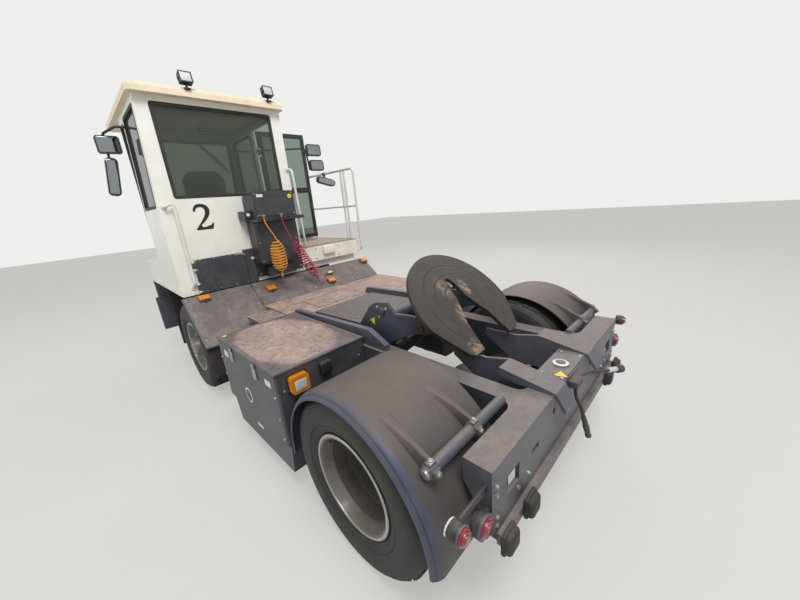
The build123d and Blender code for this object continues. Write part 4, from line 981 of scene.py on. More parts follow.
def air_elbow(y):
    """A brass elbow: hexagon, body, swivel leg and lock nut."""
    body = stepped_bar(
        "elbow_body", "X", (0.484, y, 1.93), [(0.014, 0.022), (0.011, 0.036), (0.0135, 0.018), (0.010, 0.02)], 16)
    leg = stepped_bar("elbow_leg", "Z", (0.5, y, 1.8995), [(0.0075, 0.005), (0.0105, 0.012), (0.009, 0.0145)], 6)
    return [body, leg]


elbows = air_elbow(0.332) + air_elbow(0.128)
fit("air_elbows", elbows, brass_coat, "brass")
loose_coupling = stepped_bar(
    "yellow_loose_coupling", "Z", (0.5, 0.248, 1.214),
    [(0.010, 0.012), (0.013, 0.008), (0.0165, 0.022), (0.0125, 0.012), (0.009, 0.007)])
dress(loose_coupling, "chassis", brass_coat, "brass")


def rear_elbow_block():
    """The dark junction block that the two rear hoses leave."""
    body = block_stock("rear_elbow_block", (0.054, 0.098, 0.041), (-2.6512, 0.08, 0.881))
    trim(body, BACK, 0.008, -0.003)
    trim(body, UP, 0.010, 0.0)
    soften(body, 0.003)
    return dress(body, "chassis", cast_coat, "cast_steel")


rear_elbow_block()


def parking_connector():
    """The dummy coupling on the slope where the crimson line is parked."""
    place = leaned((0.7086, -0.52, 1.075), -slope_angle)
    base = block_stock("parking_base", (0.049, 0.088, 0.014), (0, 0, 0.007))
    trim(base, UP, 0.006, 0.002)
    head = block_stock("parking_head", (0.036, 0.070, 0.024), (0, 0, 0.027))
    trim(head, LEFT, 0.006, -0.004)
    soften(head, 0.004)
    yellow = together("parking_yellow", [head])
    yellow.data.transform(place)
    dress(yellow, "chassis", sticker_yellow, "brass")
    base.data.transform(place)
    return dress(base, "chassis", plastic_coat, "black_plastic", "hose_couplings")


parking_connector()


drop_place = upright_to(drop_points[-1], past(drop_points, 0.18) - Vector(drop_points[-1]))
side_place = upright_to(side_points[-1], past(side_points, 0.105) - Vector(side_points[-1]))
drop_plug = stud(
    "drop_sleeve", [(0.013, 0.02), (0.015, 0.045), (0.0135, 0.015), (0.018, 0.03), (0.0165, 0.05), (0.018, 0.012),
                    (0.013, 0.006)], 28, drop_place)
dress(drop_plug, "chassis", cast_coat, "cast_steel")
side_plug = stud("side_sleeve", [(0.013, 0.01), (0.016, 0.093)], 28, side_place)
dress(side_plug, "chassis", pale_sleeve_coat, "clear_lens")
side_ring = stud("side_ring", [(0.017, 0.012)], 28, side_place, 0.103)
dress(side_ring, "chassis", blue_ring_coat, "black_plastic")
side_end = stud(
    "side_grip", [(0.020, 0.006), (0.027, 0.012), (0.022, 0.006), (0.027, 0.012), (0.022, 0.006), (0.0275, 0.018),
                  (0.020, 0.010)], 28, side_place, 0.115)
dress(side_end, "chassis", cast_coat, "cast_steel")
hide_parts("rear_hose_plugs")


# Plates, films and small fastenings

def raised_plate(name, size, centre, facing, rim, lift, round_off=0.002, place=None):
    """A plate with its face inset and raised or sunk inside a rim."""
    plate = block_stock(name, size, centre)
    trim(plate, facing, rim, lift)
    if place is not None:
        plate.data.transform(place)
    if round_off:
        soften(plate, round_off)
    return plate


def lid(name, coat, slot, size, centre, facing, rim, lift, round_off=0.002):
    """One rimmed plate of the chassis, dressed."""
    return dress(raised_plate(name, size, centre, facing, rim, lift, round_off), "chassis", coat, slot)


def film_spot(name, body, point, normal, radius, sides, spin, face_coat, edge_coat=sticker_dark, share=0.84):
    """A thin film spot on a dark border, round or three-sided."""
    place = upright_to(point, normal, spin)
    edge = round_stock(f"{name}_border", radius, 0.0012, (0, 0, 0.0004), "Z", sides)
    trim(edge, UP, 0.06 * radius, 0.0001)
    edge.data.transform(place)
    dress(edge, body, edge_coat, "black_plastic", smooth=20)
    face = round_stock(f"{name}_face", radius * share, 0.0010, (0, 0, 0.0014), "Z", sides)
    trim(face, UP, 0.05 * radius, 0.0001)
    face.data.transform(place)
    return dress(face, body, face_coat, "clear_lens", smooth=20)


def blank_label(name, body, size, centre, facing):
    """A blank white label, a little proud, with cut corners."""
    label = raised_plate(name, size, centre, facing, 0.003, 0.0002, 0)
    soften(label, 0.0004, 1)
    return dress(label, body, sticker_white, "clear_lens", smooth=20)


def rivet_rows(name, body, spots, radius, coat, slot):
    """Small domed rivets at points with their normals, as one piece."""
    rivet = round_stock("rivet", radius, 0.4 * radius, (0, 0, 0.2 * radius), "Z", 8)
    trim(rivet, UP, 0.35 * radius, 0.3 * radius)
    places = [upright_to(point, normal) for point, normal in spots]
    return dress(together(name, copy_to(rivet, places)), body, coat, slot, smooth=60)


slope_out = (-sin(slope_angle), 0, cos(slope_angle))


def on_slope(y, z, off=0.0):
    """A point above the slope at a height, off its face along the normal."""
    x = slope_top.x - (slope_top.z - z) / tan(slope_angle)
    return Vector((x, y, z)) + Vector(slope_out) * off


# Side box: films, labels, rivets, latches, the lamp and the small switch box

film_spot(
    "box_round_spot", "chassis", (-0.70, box_face_y, 0.628), LEFT, 0.062, 32, 0, sticker_dark, sticker_white, 0.80)
film_spot("box_corner_triangle", "chassis", (-0.245, 1.196, 0.9925), UP, 0.042, 3, 0.5, sticker_yellow)
blank_label("box_label_front", "chassis", (0.085, 0.0012, 0.052), (-0.369, 1.2409, 0.885), LEFT)
blank_label("box_label_rear", "chassis", (0.085, 0.0012, 0.045), (-1.155, 1.2409, 0.898), LEFT)
blank_label("box_label_low", "chassis", (0.10, 0.0012, 0.03), (-0.72, 1.2189, 0.342), LEFT)
edge_rivets = []
for k in range(24):
    x = -1.25 + k * (1.03 / 23)
    edge_rivets += [((x, 1.222, lid_z), UP), ((x, 0.552, lid_z), UP)]
for k in range(1, 15):
    y = 0.552 + k * (0.67 / 15)
    edge_rivets += [((-1.25, y, lid_z), UP), ((-0.22, y, lid_z), UP)]
rivet_rows("side_box_lid_rivets", "chassis", edge_rivets, 0.0055, box_coat, "chassis_paint")


def lid_rim():
    """The raised edge strip that frames the box lid."""
    rim = block_stock("side_box_lid_rim", (1.076, 0.716, 0.003), (-0.737, 0.882, 0.9932))
    pick(rim, lambda m, n: abs(n.z) > 0.9)
    inset(0.030)
    bpy.ops.mesh.bridge_edge_loops()
    put_down()
    return dress(rim, "chassis", chassis_coat, "chassis_paint", smooth=20)


lid_rim()


def box_latch(x):
    """A folded latch with its keeper on the outer side of the box."""
    leaf = raised_plate("box_latch_leaf", (0.046, 0.010, 0.090), (x, 1.245, 0.905), LEFT, 0.008, 0.003)
    keeper = raised_plate("box_latch_keeper", (0.040, 0.012, 0.022), (x, 1.249, 0.968), LEFT, 0.005, -0.003)
    return [leaf, keeper]


fit("side_box_latches", box_latch(-0.52) + box_latch(-0.96), zinc_coat, "chassis_paint")
lid("box_switch", plastic_coat, "black_plastic", (0.034, 0.086, 0.082), (-1.2935, 0.885, 0.905), BACK,
    0.010, 0.004, 0.004)
lid("box_lamp_face", clear_lens, "clear_lens", (0.006, 0.082, 0.070), (-1.3315, 1.0975, 0.885), BACK,
    0.008, 0.002, 0.002)
lid("box_lamp_seat", sticker_dark, "black_plastic", (0.010, 0.138, 0.136), (-1.2815, 1.0975, 0.89), BACK,
    0.006, 0.002, 0.003)
set_bolts("side_box_bolts", "chassis", 0.008, [
    ((x, box_face_y, z), LEFT) for x in (-1.24, -0.235) for z in (0.50, 0.66, 0.82)
] + [((-1.2775, y, z), BACK) for y in (0.58, 1.19) for z in (0.55, 0.86)], zinc_coat)

# Tank: filler cap and strap bolts
cap = stepped_bar("tank_filler_cap", "Y", (-0.30, -1.2505, 0.78), [(0.034, 0.006), (0.046, 0.010), (0.040, 0.008)], 24)
dress(cap, "chassis", plastic_coat, "black_plastic")
set_bolts("tank_strap_bolts", "chassis", 0.009, [
    ((x, -1.2345, z), RIGHT) for x in (-0.97, -0.17) for z in (0.44, 0.78)], zinc_coat)


# Slope and deck: joints, screws, edge strips and the lamps' feet

def flat_strip(name, size, centre, share, lift, place=None):
    """A thin strip, inset on top by a share of its narrow side."""
    return raised_plate(name, size, centre, UP, min(size[:2]) * share, lift, 0, place)


slope_lie = leaned(slope_top, -slope_angle)
joints = [
    flat_strip("plate_joint", size, spot, 0.3, -0.0004, place) for size, spot, place in (
        ((0.007, 0.80, 0.0016), (-0.135, 0.0, 0.9352), None), ((0.007, 0.80, 0.0016), (0.25, 0.0, 0.9352), None),
        ((0.38, 0.007, 0.0016), (0.06, 0.19, 0.9352), None), ((0.007, 0.70, 0.0016), (-0.34, -0.88, 0.9302), None),
        ((0.007, 0.70, 0.0016), (-0.80, -0.88, 0.9302), None),
        ((0.36, 0.008, 0.0016), (-0.18, 0.52, 0.0003), slope_lie))
]
fit("plate_joints", joints, seam_coat, "rubber", smooth=20)
deck_screws = [
    ((x, y, deck_z), UP) for x in (-0.265, -0.16, -0.11, 0.225, 0.275, 0.50) for y in (-0.36, -0.12, 0.12, 0.36)]
deck_screws += [
    ((x, y, side_deck_z), UP) for x in (-1.22, -0.83, -0.77, -0.37, -0.31, 0.12) for y in (-1.20, -0.88, -0.56)]
deck_screws += [
    (on_slope(y, z), slope_out) for y in (-1.20, -0.80, -0.20, 0.18, 0.48, 0.56, 0.88, 1.205) for z in (0.965, 1.145)]
deck_screws += [(on_slope(y, 0.80), slope_out) for y in (0.56, 0.88, 1.205)]
rivet_rows("deck_and_slope_screws", "chassis", deck_screws, 0.009, zinc_coat, "chassis_paint")

# The coaming's long top rises by 0.040 over 1.132, and its end falls by 0.087 over 0.183
rubbed = []
for side in (1, -1):
    for length, spot, angle in (
        (1.13, (-0.746, side * 0.4725, 1.025), 0.040 / 1.132),
        (sqrt(0.183 ** 2 + 0.087 ** 2), (-1.4035, side * 0.4725, 1.0015), -0.4438),
    ):
        rubbed.append(flat_strip(
            "coaming_edge", (length, 0.046, 0.002), (0, 0, 0.0006), 0.25, 0.0006, leaned(spot, angle)))
rubbed.append(flat_strip(
    "slope_left_edge", (0.655, 0.012, 0.0026), (-0.328, 1.2335, 0.0008), 0.25, 0.0006, slope_lie))
fit("rubbed_edges", rubbed, blue_edge_coat, "chassis_paint", smooth=20)


def tread_ribs(name, x0, x1, y0, y1, z, count):
    """Raised anti-slip ribs across a step."""
    ribs = []
    for k in range(count):
        x = x0 + (x1 - x0) * (k + 0.5) / count
        ribs.append(raised_plate(
            "step_rib", (0.008, y1 - y0, 0.004), (x, (y0 + y1) / 2, z + 0.0018), UP, 0.002, 0.0006, 0))
    return together(name, ribs)


dress(tread_ribs("side_step_ribs", 0.05, 0.34, 0.535, 0.772, 0.92, 9), "chassis", deck_coat, "chassis_paint", smooth=20)
dress(tread_ribs("platform_ribs", 1.0, 2.5, -1.17, -0.36, 1.46, 22), "chassis", base_coat, "cab_paint", smooth=20)
lamp_spots = ((1.04, 1.124), (0.334, 1.066), (-0.465, 0.990), (-1.19, 1.122))
lamp_feet = []
for y, z in lamp_spots:
    foot_place = leaned(on_slope(y, z), -slope_angle)
    lamp_feet.append(raised_plate(
        "lamp_foot", (0.076, 0.116, 0.010), (0, 0, 0.0052), UP, 0.004, 0.002, 0.002, foot_place))
    gland = stepped_bar("lamp_gland", "X", (-0.066, 0, 0.014), [(0.006, 0.010), (0.0085, 0.012), (0.0075, 0.0125)], 12)
    gland.data.transform(foot_place)
    lamp_feet.append(gland)
fit("amber_lamp_feet", lamp_feet, sticker_dark, "black_plastic")

# Rear lamps: dark pots on their arms, rims and lenses
lamp_sets = {"pot": [], "rim": [], "lens": [], "clear": []}
for side in (1, -1):
    for arm_size, arm_spot, lamp_y, lamp_z, sides, bars in (
        ((0.018, 0.056, 0.038), (-2.602, side * 1.012, 0.703), side * 1.052, 0.703, 32, (
            ("pot", -2.628, [(0.054, 0.030), (0.044, 0.017)]),
            ("rim", -2.634, [(0.0535, 0.004), (0.0545, 0.006)]),
            ("lens", -2.649, [(0.022, 0.003), (0.036, 0.006), (0.0435, 0.010)]))),
        ((0.012, 0.21, 0.030), (-2.595, side * 1.092, 0.827), side * 1.215, 0.827, 28, (
            ("pot", -2.632, [(0.038, 0.010), (0.040, 0.030), (0.036, 0.006)]),
            ("lens", -2.657, [(0.018, 0.004), (0.028, 0.007), (0.033, 0.014)]),
            ("clear", -2.5865, [(0.036, 0.008), (0.024, 0.004)]),
            ("rim", -2.637, [(0.0395, 0.002), (0.0405, 0.004)]))),
    ):
        for kind, x, stages in bars:
            lamp_sets[kind].append(stepped_bar("rear_lamp", "X", (x, lamp_y, lamp_z), stages, sides))
        lamp_sets["pot"].append(raised_plate("lamp_arm", arm_size, arm_spot, UP, 0.004, 0.002, 0))
fit("rear_lamp_pots", lamp_sets["pot"], plastic_coat, "black_plastic", "rear_lamps")
fit("rear_lamp_rims", lamp_sets["rim"], chassis_coat, "chassis_paint")
fit("rear_lamp_lenses", lamp_sets["lens"], red_lens, "red_lens")
fit("marker_clear_faces", lamp_sets["clear"], clear_lens, "clear_lens")

# Rear head: bolt rows, the plug's ring and the film by it
rear_rows = [((rear_face_x, side * y, z), BACK) for side in (1, -1) for y, z in (
    (0.955, 0.825), (0.955, 0.778), (0.947, 0.652), (0.947, 0.607), (0.748, 0.647), (0.640, 0.647))]
set_bolts("rear_plate_bolts", "chassis", 0.0095, rear_rows, zinc_coat)
hole_rims = [stepped_bar("plate_hole", "X", (rear_face_x - 0.0025, y, 0.814), [(0.011, 0.001), (0.016, 0.0025)], 24)
             for y in (0.325, -0.325)]
fit("rear_plate_holes", hole_rims, seam_coat, "rubber")
film_spot("ramp_triangle", "chassis", (-2.583, 0.125, 0.9255), UP, 0.050, 3, 0.3, sticker_yellow)
ring = stepped_bar("centre_plug_ring", "Z", (-2.54, 0, 0.9325), [(0.046, 0.002), (0.042, 0.003), (0.032, 0.001)], 36)
dress(ring, "chassis", sticker_white, "clear_lens")
core = stepped_bar("centre_plug_core", "Z", (-2.54, 0, 0.937), [(0.030, 0.002), (0.026, 0.003)], 32)
dress(core, "chassis", ramp_coat, "chassis_paint")
rubbers = []
for y in (-0.922, -0.701, 0.701, 0.922):
    rubber = block_stock("buffer_rubber", (0.047, 0.100, 0.100), (-2.6765, y, 0.54))
    soften(rubber, 0.022, 4)
    base = raised_plate("buffer_base", (0.020, 0.104, 0.110), (-2.6625, y, 0.54), BACK, 0.008, 0.002, 0.006)
    rubbers += [rubber, base]
fit("buffer_rubbers", rubbers, rubber_coat, "rubber", "rear_buffers")
ramp_bolts = [((x, side * y, 0.925), UP) for side in (1, -1) for x, y in ((-2.60, 0.16), (-2.49, 0.16))]
rivet_rows("ramp_screws", "chassis", ramp_bolts, 0.011, zinc_coat, "chassis_paint")

# Guard tubes with their collars, end caps and bolts
guard_x, guard_z = -1.94, 0.505
tube_x, tube_z = -2.4175, 0.9057


def spun_along(name, section, first, last, steps):
    """A closed section in radius and width, spun about the guards' centre between two angles in degrees."""
    start = radians(first)
    piece = outline(name, [(guard_x + r * cos(start), y, guard_z + r * sin(start)) for r, y in section], "NGON")
    bpy.ops.mesh.spin(steps=steps, angle=radians(last - first), center=(guard_x, 0, guard_z), axis=(0, 1, 0))
    close_up()
    return piece


guard_r, rib_reach = 0.593, 0.603
rib_tip, rib_foot = 113, 138
collar_ys, lug_leans = (0.800, 1.120), (0.12, 1.42)


def guards():
    """The two half-round guards with their rounded lips and two wedge ribs each."""
    pieces = []
    for side in (1, -1):
        section = [
            (0.592, 0.655), (0.592, 1.195), (0.5905, 1.2085), (0.586, 1.219), (0.579, 1.232), (0.570, 1.242),
            (0.562, 1.250), (0.552, 1.250), (0.552, 1.242), (0.560, 1.242), (0.564, 1.232), (0.579, 1.211),
            (0.584, 1.195), (0.584, 0.655),
        ]
        pieces.append(spun_along("guard_shell", [(r, side * y) for r, y in section], -3, 181, 92))
        for tip, foot in (((0.785, 0.862), (0.782, 0.818)), ((1.090, 1.168), (1.102, 1.138))):
            section = [(0.586, 0), (0.6, 0.1), (0.6, 0.2), (0.6, 0.62), (0.6, 0.72), (0.586, 1)]
            rib = spun_along("guard_rib", section, rib_tip, rib_foot, 12)
            for vertex in rib.data.vertices:
                x, y, z = vertex.co
                angle = atan2(z - guard_z, x - guard_x)
                share = (degrees(angle) - rib_tip) / (rib_foot - rib_tip)
                low, high = [a + (b - a) * share for a, b in zip(tip, foot)]
                if (x - guard_x) ** 2 + (z - guard_z) ** 2 > guard_r ** 2:
                    reach = rib_reach / cos(angle - radians(rib_tip)) - (0 if 0.15 < y < 0.65 else 0.004)
                    x, z = guard_x + reach * cos(angle), guard_z + reach * sin(angle)
                vertex.co = (x, side * (low + (high - low) * y), z)
            open_up(rib)
            close_up()
            pieces.append(rib)
    return fit("rear_guards", pieces, guard_coat, "chassis_paint", "rear_mudguards")


guards()


def guard_tubes():
    """The two tubes that hold the guards, each with its collars."""
    pieces = []
    for side in (1, -1):
        start = 0.5195 if side > 0 else -1.150
        pieces.append(stepped_bar("guard_tube", "Y", (tube_x, start, tube_z), [(0.030, 0.6305)], 36))
        for y in collar_ys:
            pieces.append(stepped_bar(
                "guard_collar", "Y", (tube_x, side * y - 0.022, tube_z),
                [(0.0345, 0.003), (0.0375, 0.038), (0.0345, 0.003)], 36))
            for lean in lug_leans:
                pieces.append(raised_plate(
                    "collar_lug", (0.030, 0.040, 0.014), (0, 0, 0.037), UP, 0.003, 0.002, 0,
                    leaned((tube_x, side * y, tube_z), -lean)))
    return fit("guard_tubes", pieces, chassis_coat, "chassis_paint", "mudguard_tubes")


guard_tubes()
collar_bolts = []
tube_caps = []
for side in (1, -1):
    for y in collar_ys:
        for lean in lug_leans:
            way = Vector((-sin(lean), 0, cos(lean)))
            collar_bolts.append((Vector((tube_x, side * y, tube_z)) + way * 0.0458, way))
    tube_caps.append(stud(
        "guard_tube_cap", [(0.0265, 0.004), (0.021, 0.004)], 28,
        upright_to((tube_x, side * 1.1495, tube_z), (0, side, 0))))
set_bolts("guard_collar_bolts", "chassis", 0.011, collar_bolts, zinc_coat)
fit("guard_tube_caps", tube_caps, zinc_coat, "chassis_paint")

# Boom: pin bosses, keeper bolts and the triangle film
bosses = []
for side in (1, -1):
    for x, z, lift, stages in (
        (-1.362, 1.169, 0.375, [(0.034, 0.008), (0.026, 0.008)]),
        (-0.40, 0.83, 0.3755, [(0.060, 0.005), (0.050, 0.005)]),
    ):
        bosses.append(stud("boom_boss", stages, 32, upright_to((x, side * lift, z), (0, side, 0))))
fit("boom_bosses", bosses, boom_coat, "cast_steel", body="boom")
set_bolts("boom_keeper_bolts", "boom", 0.010, [
    ((x, side * 0.3755, z), (0, side, 0)) for side in (1, -1)
    for x, z in ((-1.315, 1.195), (-1.41, 1.195), (-1.33, 1.115), (-0.46, 0.885), (-0.345, 0.885))], zinc_coat)
film_spot("boom_triangle", "boom", (-1.248, 0.3755, 1.070), LEFT, 0.046, 3, pi / 2, sticker_yellow)
set_bolts("boom_top_bolts", "boom", 0.010, [
    ((x, y, 1.013 - (x + 1.10) * 0.0384), (0.038, 0, 1))
    for x in (-0.42, -0.95) for y in (-0.30, -0.10, 0.10, 0.30)], zinc_coat)

# Coupling plate: the lock under it
plate_turn = leaned((coupling_x, 0, coupling_z), coupling_tilt)


def coupling_details():
    """The locking bar and jaw under the plate."""
    lever = stepped_bar("lock_bar", "Y", (0.245, -0.40, 0.083), [(0.009, 0.02), (0.0125, 0.32)], 16)
    jaw = block_stock("lock_jaw", (0.05, 0.112, 0.026), (0.245, 0, 0.0895))
    trim(jaw, BACK, 0.012, -0.012)
    soften(jaw, 0.004)
    whole = together("coupling_lock", [lever, jaw])
    whole.data.transform(plate_turn)
    return dress(whole, "fifth_wheel", cast_coat, "cast_steel")


coupling_details()


# Work lamps: bezels, lenses and cooling fins

def lamp_fronts():
    """Each work lamp gets its bezel, its lens and the fins on its back."""
    bezels, lenses = [], []
    for y in (0.70, -0.11):
        place = leaned((0.778, y, 3.258), radians(12))
        face = (-0.0315, 0, 0)
        bezels.append(raised_plate("work_bezel", (0.006, 0.114, 0.100), face, BACK, 0.010, -0.003, 0.001, place))
        lenses.append(raised_plate("work_lens", (0.004, 0.090, 0.078), face, BACK, 0.008, 0.0015, 0.001, place))
        for k in range(7):
            bezels.append(raised_plate(
                "lamp_fin", (0.014, 0.005, 0.082), (0.035, -0.042 + 0.014 * k, 0), FRONT, 0.001, 0.001, 0, place))
        for sign in (1, -1):
            bezels.append(stud(
                "lamp_pivot", [(0.016, 0.006), (0.011, 0.005)], 20,
                place @ upright_to((0, sign * 0.0575, -0.01), (0, sign, 0))))
    fit("work_lamp_bezels", bezels, plastic_coat, "black_plastic")
    fit("work_lamp_lenses", lenses, clear_lens, "clear_lens")


lamp_fronts()

# Mirror glasses on the faces that look back
mirror_spots = (
    ((1.6695, 1.325, 2.7925), (0.004, 0.182, 0.150), None),
    ((-0.0272, 0, 0), (0.004, 0.086, 0.352), leaned((1.685, 1.372, 2.468), radians(9), "X")),
    ((1.8295, -1.285, 2.8725), (0.004, 0.222, 0.140), None),
    ((1.8295, -1.3075, 2.6425), (0.004, 0.216, 0.130), None),
    ((-0.0312, 0, 0), (0.004, 0.296, 0.078), leaned((1.60, -1.278, 2.366), radians(14), "X")),
)
glasses = [
    raised_plate("mirror_face", size, centre, BACK, 0.006, 0.0008, 0.001, place)
    for centre, size, place in mirror_spots
]
fit("mirror_glasses", glasses, mirror_glass, "rod_chrome")


# Rear wall of the cab: the plain numeral, the filler, the flange, the ledge and the cover's fastenings

def plain_numeral():
    """The numeral 2 as a flat outline, thickened to a film and laid on the wall."""
    outer = [(4, 0), (86, 0), (96, 34), (88, 34), (82, 25), (72, 21), (34, 21)]
    bowl = [(52, 42), (70, 62), (83, 83), (87, 103), (82, 123), (67, 136), (46, 140), (26, 136), (12, 122), (6, 102)]
    hook = [(17, 99), (23, 113), (34, 121)]
    inside = [(46, 122), (57, 117), (63, 105), (62, 90), (54, 71), (38, 48), (18, 24), (4, 7)]
    data = bpy.data.curves.new("cab_numeral", "CURVE")
    data.dimensions = "2D"
    data.fill_mode = "BOTH"
    line = data.splines.new("BEZIER")
    points = outer + bowl + hook + inside
    line.bezier_points.add(len(points) - 1)
    for knot, (x, y) in zip(line.bezier_points, points):
        knot.co = (x, y, 0)
        corner = (x, y) in outer[:4] or (x, y) in ((6, 102), (17, 99), (4, 7))
        knot.handle_left_type = knot.handle_right_type = "VECTOR" if corner else "AUTO"
    line.use_cyclic_u = True
    take_up(put_in_scene("cab_numeral", data))
    bpy.ops.object.convert(target="MESH")
    numeral = bpy.context.object
    open_up(numeral)
    bpy.ops.mesh.remove_doubles(threshold=0.01)
    bpy.ops.mesh.dissolve_limited(angle_limit=radians(1))
    put_down()
    scale = Matrix.Diagonal((0.19 / 96, 0.268 / 140, 1, 1))
    stand = Matrix(((0, 0, -1, cab_rear_x - 0.0002), (-1, 0, 0, 0.92), (0, 1, 0, 1.842), (0, 0, 0, 1)))
    numeral.data.transform(stand @ scale)
    shape_with(numeral, "SOLIDIFY", thickness=0.0016, offset=0)
    open_up(numeral)
    close_up()
    return dress(numeral, "chassis", sticker_dark, "black_plastic", smooth=20)


plain_numeral()
lid("wall_filler", cover_coat, "cab_paint", (0.006, 0.124, 0.400), (0.8675, 0.447, 1.370), BACK, 0.006, -0.001)
lid("cover_flange", cover_coat, "cab_paint", (0.012, 0.056, 0.415), (0.8645, 0.4655, 1.3615), BACK, 0.012, -0.003)


def skirt_ledge():
    """The ledge between the skirt's top and the cab side that tapers away above it."""
    corners = ((1.62, 1.1645), (1.62, 1.160), (2.4795, 0.990), (2.4795, 1.1645))
    piece = outline("skirt_ledge", [(x, y, 1.4545) for x, y in corners], "NGON")
    pull((0, 0, 0.015))
    close_up()
    return dress(piece, "chassis", cab_coat, "cab_paint")


skirt_ledge()


def cover_latch():
    """The bent bright strap that holds the cover, with its knob."""
    strap = block_stock("latch_strap", (0.004, 0.050, 0.026), (0.8352, 0.585, 1.535))
    pick(strap, lambda m, n: n.y < -0.9)
    pull((-0.004, -0.022, -0.006))
    pull((-0.001, -0.045, -0.014))
    put_down()
    soften(strap, 0.0012)
    knob = stepped_bar("latch_knob", "X", (0.816, 0.545, 1.530), [(0.008, 0.004), (0.011, 0.010), (0.006, 0.006)], 20)
    return fit("cover_latch", [strap, knob], zinc_coat, "chassis_paint", body="cover")


cover_latch()
cover_screws = [((0.837, y, z), BACK) for y, z in (
    (0.522, 1.19), (0.66, 1.19), (0.66, 1.53), (0.83, 1.19), (0.83, 1.53), (0.97, 1.19), (0.97, 1.53))]
rivet_rows("cover_screws", "cover", cover_screws, 0.007, zinc_coat, "chassis_paint")
pale_spot = stepped_bar("wall_plug", "X", (0.850, 0.410, 1.453), [(0.012, 0.004), (0.017, 0.008), (0.019, 0.009)], 24)
dress(pale_spot, "chassis", sticker_white, "clear_lens")

# Equipment boxes: lids, screws, hinges, labels, glands, rubber strip and plate bolts
lids = [
    raised_plate("upper_lid", (0.006, 0.462, 0.262), (0.5785, 0.1385, 2.0485), BACK, 0.018, -0.002, 0.002),
    raised_plate("lower_lid", (0.006, 0.480, 0.456), (0.6535, 0.1425, 1.631), BACK, 0.022, -0.002, 0.002),
]
fit("equipment_lids", lids, equipment_coat, "grey_plastic")
box_screws = [((0.5755, y, z), BACK) for y in (-0.078, 0.355) for z in (1.932, 2.165)]
box_screws += [((0.6505, y, z), BACK) for y in (-0.084, 0.370) for z in (1.416, 1.63, 1.845)]
rivet_rows("equipment_screws", "chassis", box_screws, 0.008, zinc_coat, "chassis_paint")
hinges = [
    stepped_bar("lid_hinge", "Y", (0.578, y, 2.186), [(0.006, 0.003), (0.0075, 0.054), (0.006, 0.003)], 16)
    for y in (-0.01, 0.23)
]
fit("equipment_hinges", hinges, plastic_coat, "black_plastic")
film_spot("equipment_round_spot", "chassis", (0.5755, -0.052, 2.128), BACK, 0.030, 28, 0, sticker_yellow)
blank_label("equipment_label", "chassis", (0.0012, 0.070, 0.030), (0.5752, 0.30, 2.146), BACK)
lid("switch_box_lid", plastic_coat, "black_plastic", (0.006, 0.076, 0.086), (0.6785, 0.427, 1.9475), BACK,
    0.012, 0.004, 0.002)
blank_label("switch_box_label", "chassis", (0.0012, 0.034, 0.030), (0.6712, 0.427, 1.955), BACK)
glands = [
    stepped_bar(
        "cable_gland", "Z", (0.70, y, 1.354), [(0.008, 0.008), (0.013, 0.014), (0.016, 0.006), (0.012, 0.010)], 12)
    for y in (0.02, 0.10, 0.18, 0.27)
]
fit("box_glands", glands, plastic_coat, "black_plastic")
lid("ledge_rubber", rubber_coat, "rubber", (0.008, 0.556, 0.034), (0.5185, 0.1125, 1.885), BACK, 0.008, -0.002, 0.002)
set_bolts("back_plate_bolts", "chassis", 0.008, [((0.85, y, z), BACK) for y, z in (
    (-0.20, 1.25), (-0.20, 1.65), (-0.20, 2.10), (0.35, 1.25), (-0.20, 1.45), (0.16, 1.36))], zinc_coat)

# Platform: the box on its skirt, the clamps of the rail and the feet of the grab bars
lid("skirt_box", cab_coat, "cab_paint", (0.040, 0.184, 0.116), (0.8505, -0.662, 1.39), BACK, 0.012, 0.004, 0.006)
clamp_spots = [(x, z) for x in (1.075, 1.155, 2.10) for z in (1.315, 1.425)]
clamps = [
    raised_plate("rail_clamp", (0.056, 0.046, 0.026), (x, -1.2585, z), RIGHT, 0.006, -0.003, 0.003)
    for x, z in clamp_spots
]
fit("rail_clamps", clamps, rail_coat, "cab_paint")
set_bolts("rail_clamp_bolts", "chassis", 0.006, [
    ((x + off, -1.2813, z), RIGHT) for x, z in clamp_spots for off in (0.021, -0.021)], zinc_coat)
set_bolts("rail_foot_bolts", "chassis", 0.008, [
    ((0.87, y, z), BACK) for y in (-1.20, -0.84, -0.46) for z in (1.29, 1.42)], zinc_coat)
feet = [
    stepped_bar("grab_foot", "X", (0.860, y, z), [(r, 0.004), (r + 0.004, 0.006)], 24)
    for y, z, r in ((1.148, 2.10, 0.024), (1.090, 1.25, 0.024), (-0.238, 2.45, 0.026), (-0.238, 1.50, 0.026))
]
fit("grab_feet", feet, rail_coat, "cab_paint")

# Door: rubbers round its panes and the inner pull
window_rubbers("door_glass", "door", 0.018, Vector((1.9, 0.47, 2.4)), 0.0135)


def door_pull():
    """A bent pull on the door's inner side with its two feet."""
    bar = round_stock("door_pull", 0.010, 0.30, (1.632, -0.975, 1.85), "Z", 16)
    pick(bar, lambda m, n: n.z > 0.9)
    pull((0.012, 0, 0.022))
    pull((0.026, 0, 0.008))
    put_down()
    pick(bar, lambda m, n: n.z < -0.9)
    pull((0.012, 0, -0.022))
    pull((0.026, 0, -0.008))
    put_down()
    soften(bar, 0.003, 2, 30)
    plate = raised_plate("pull_plate", (0.006, 0.034, 0.40), (1.6635, -0.975, 1.85), BACK, 0.006, 0.002, 0.002)
    return fit("door_pull", [bar, plate], plastic_coat, "black_plastic", body="door")


door_pull()


# Cab inside: dials, switches, levers, the horn button, the ceiling lamp and the wiper outside

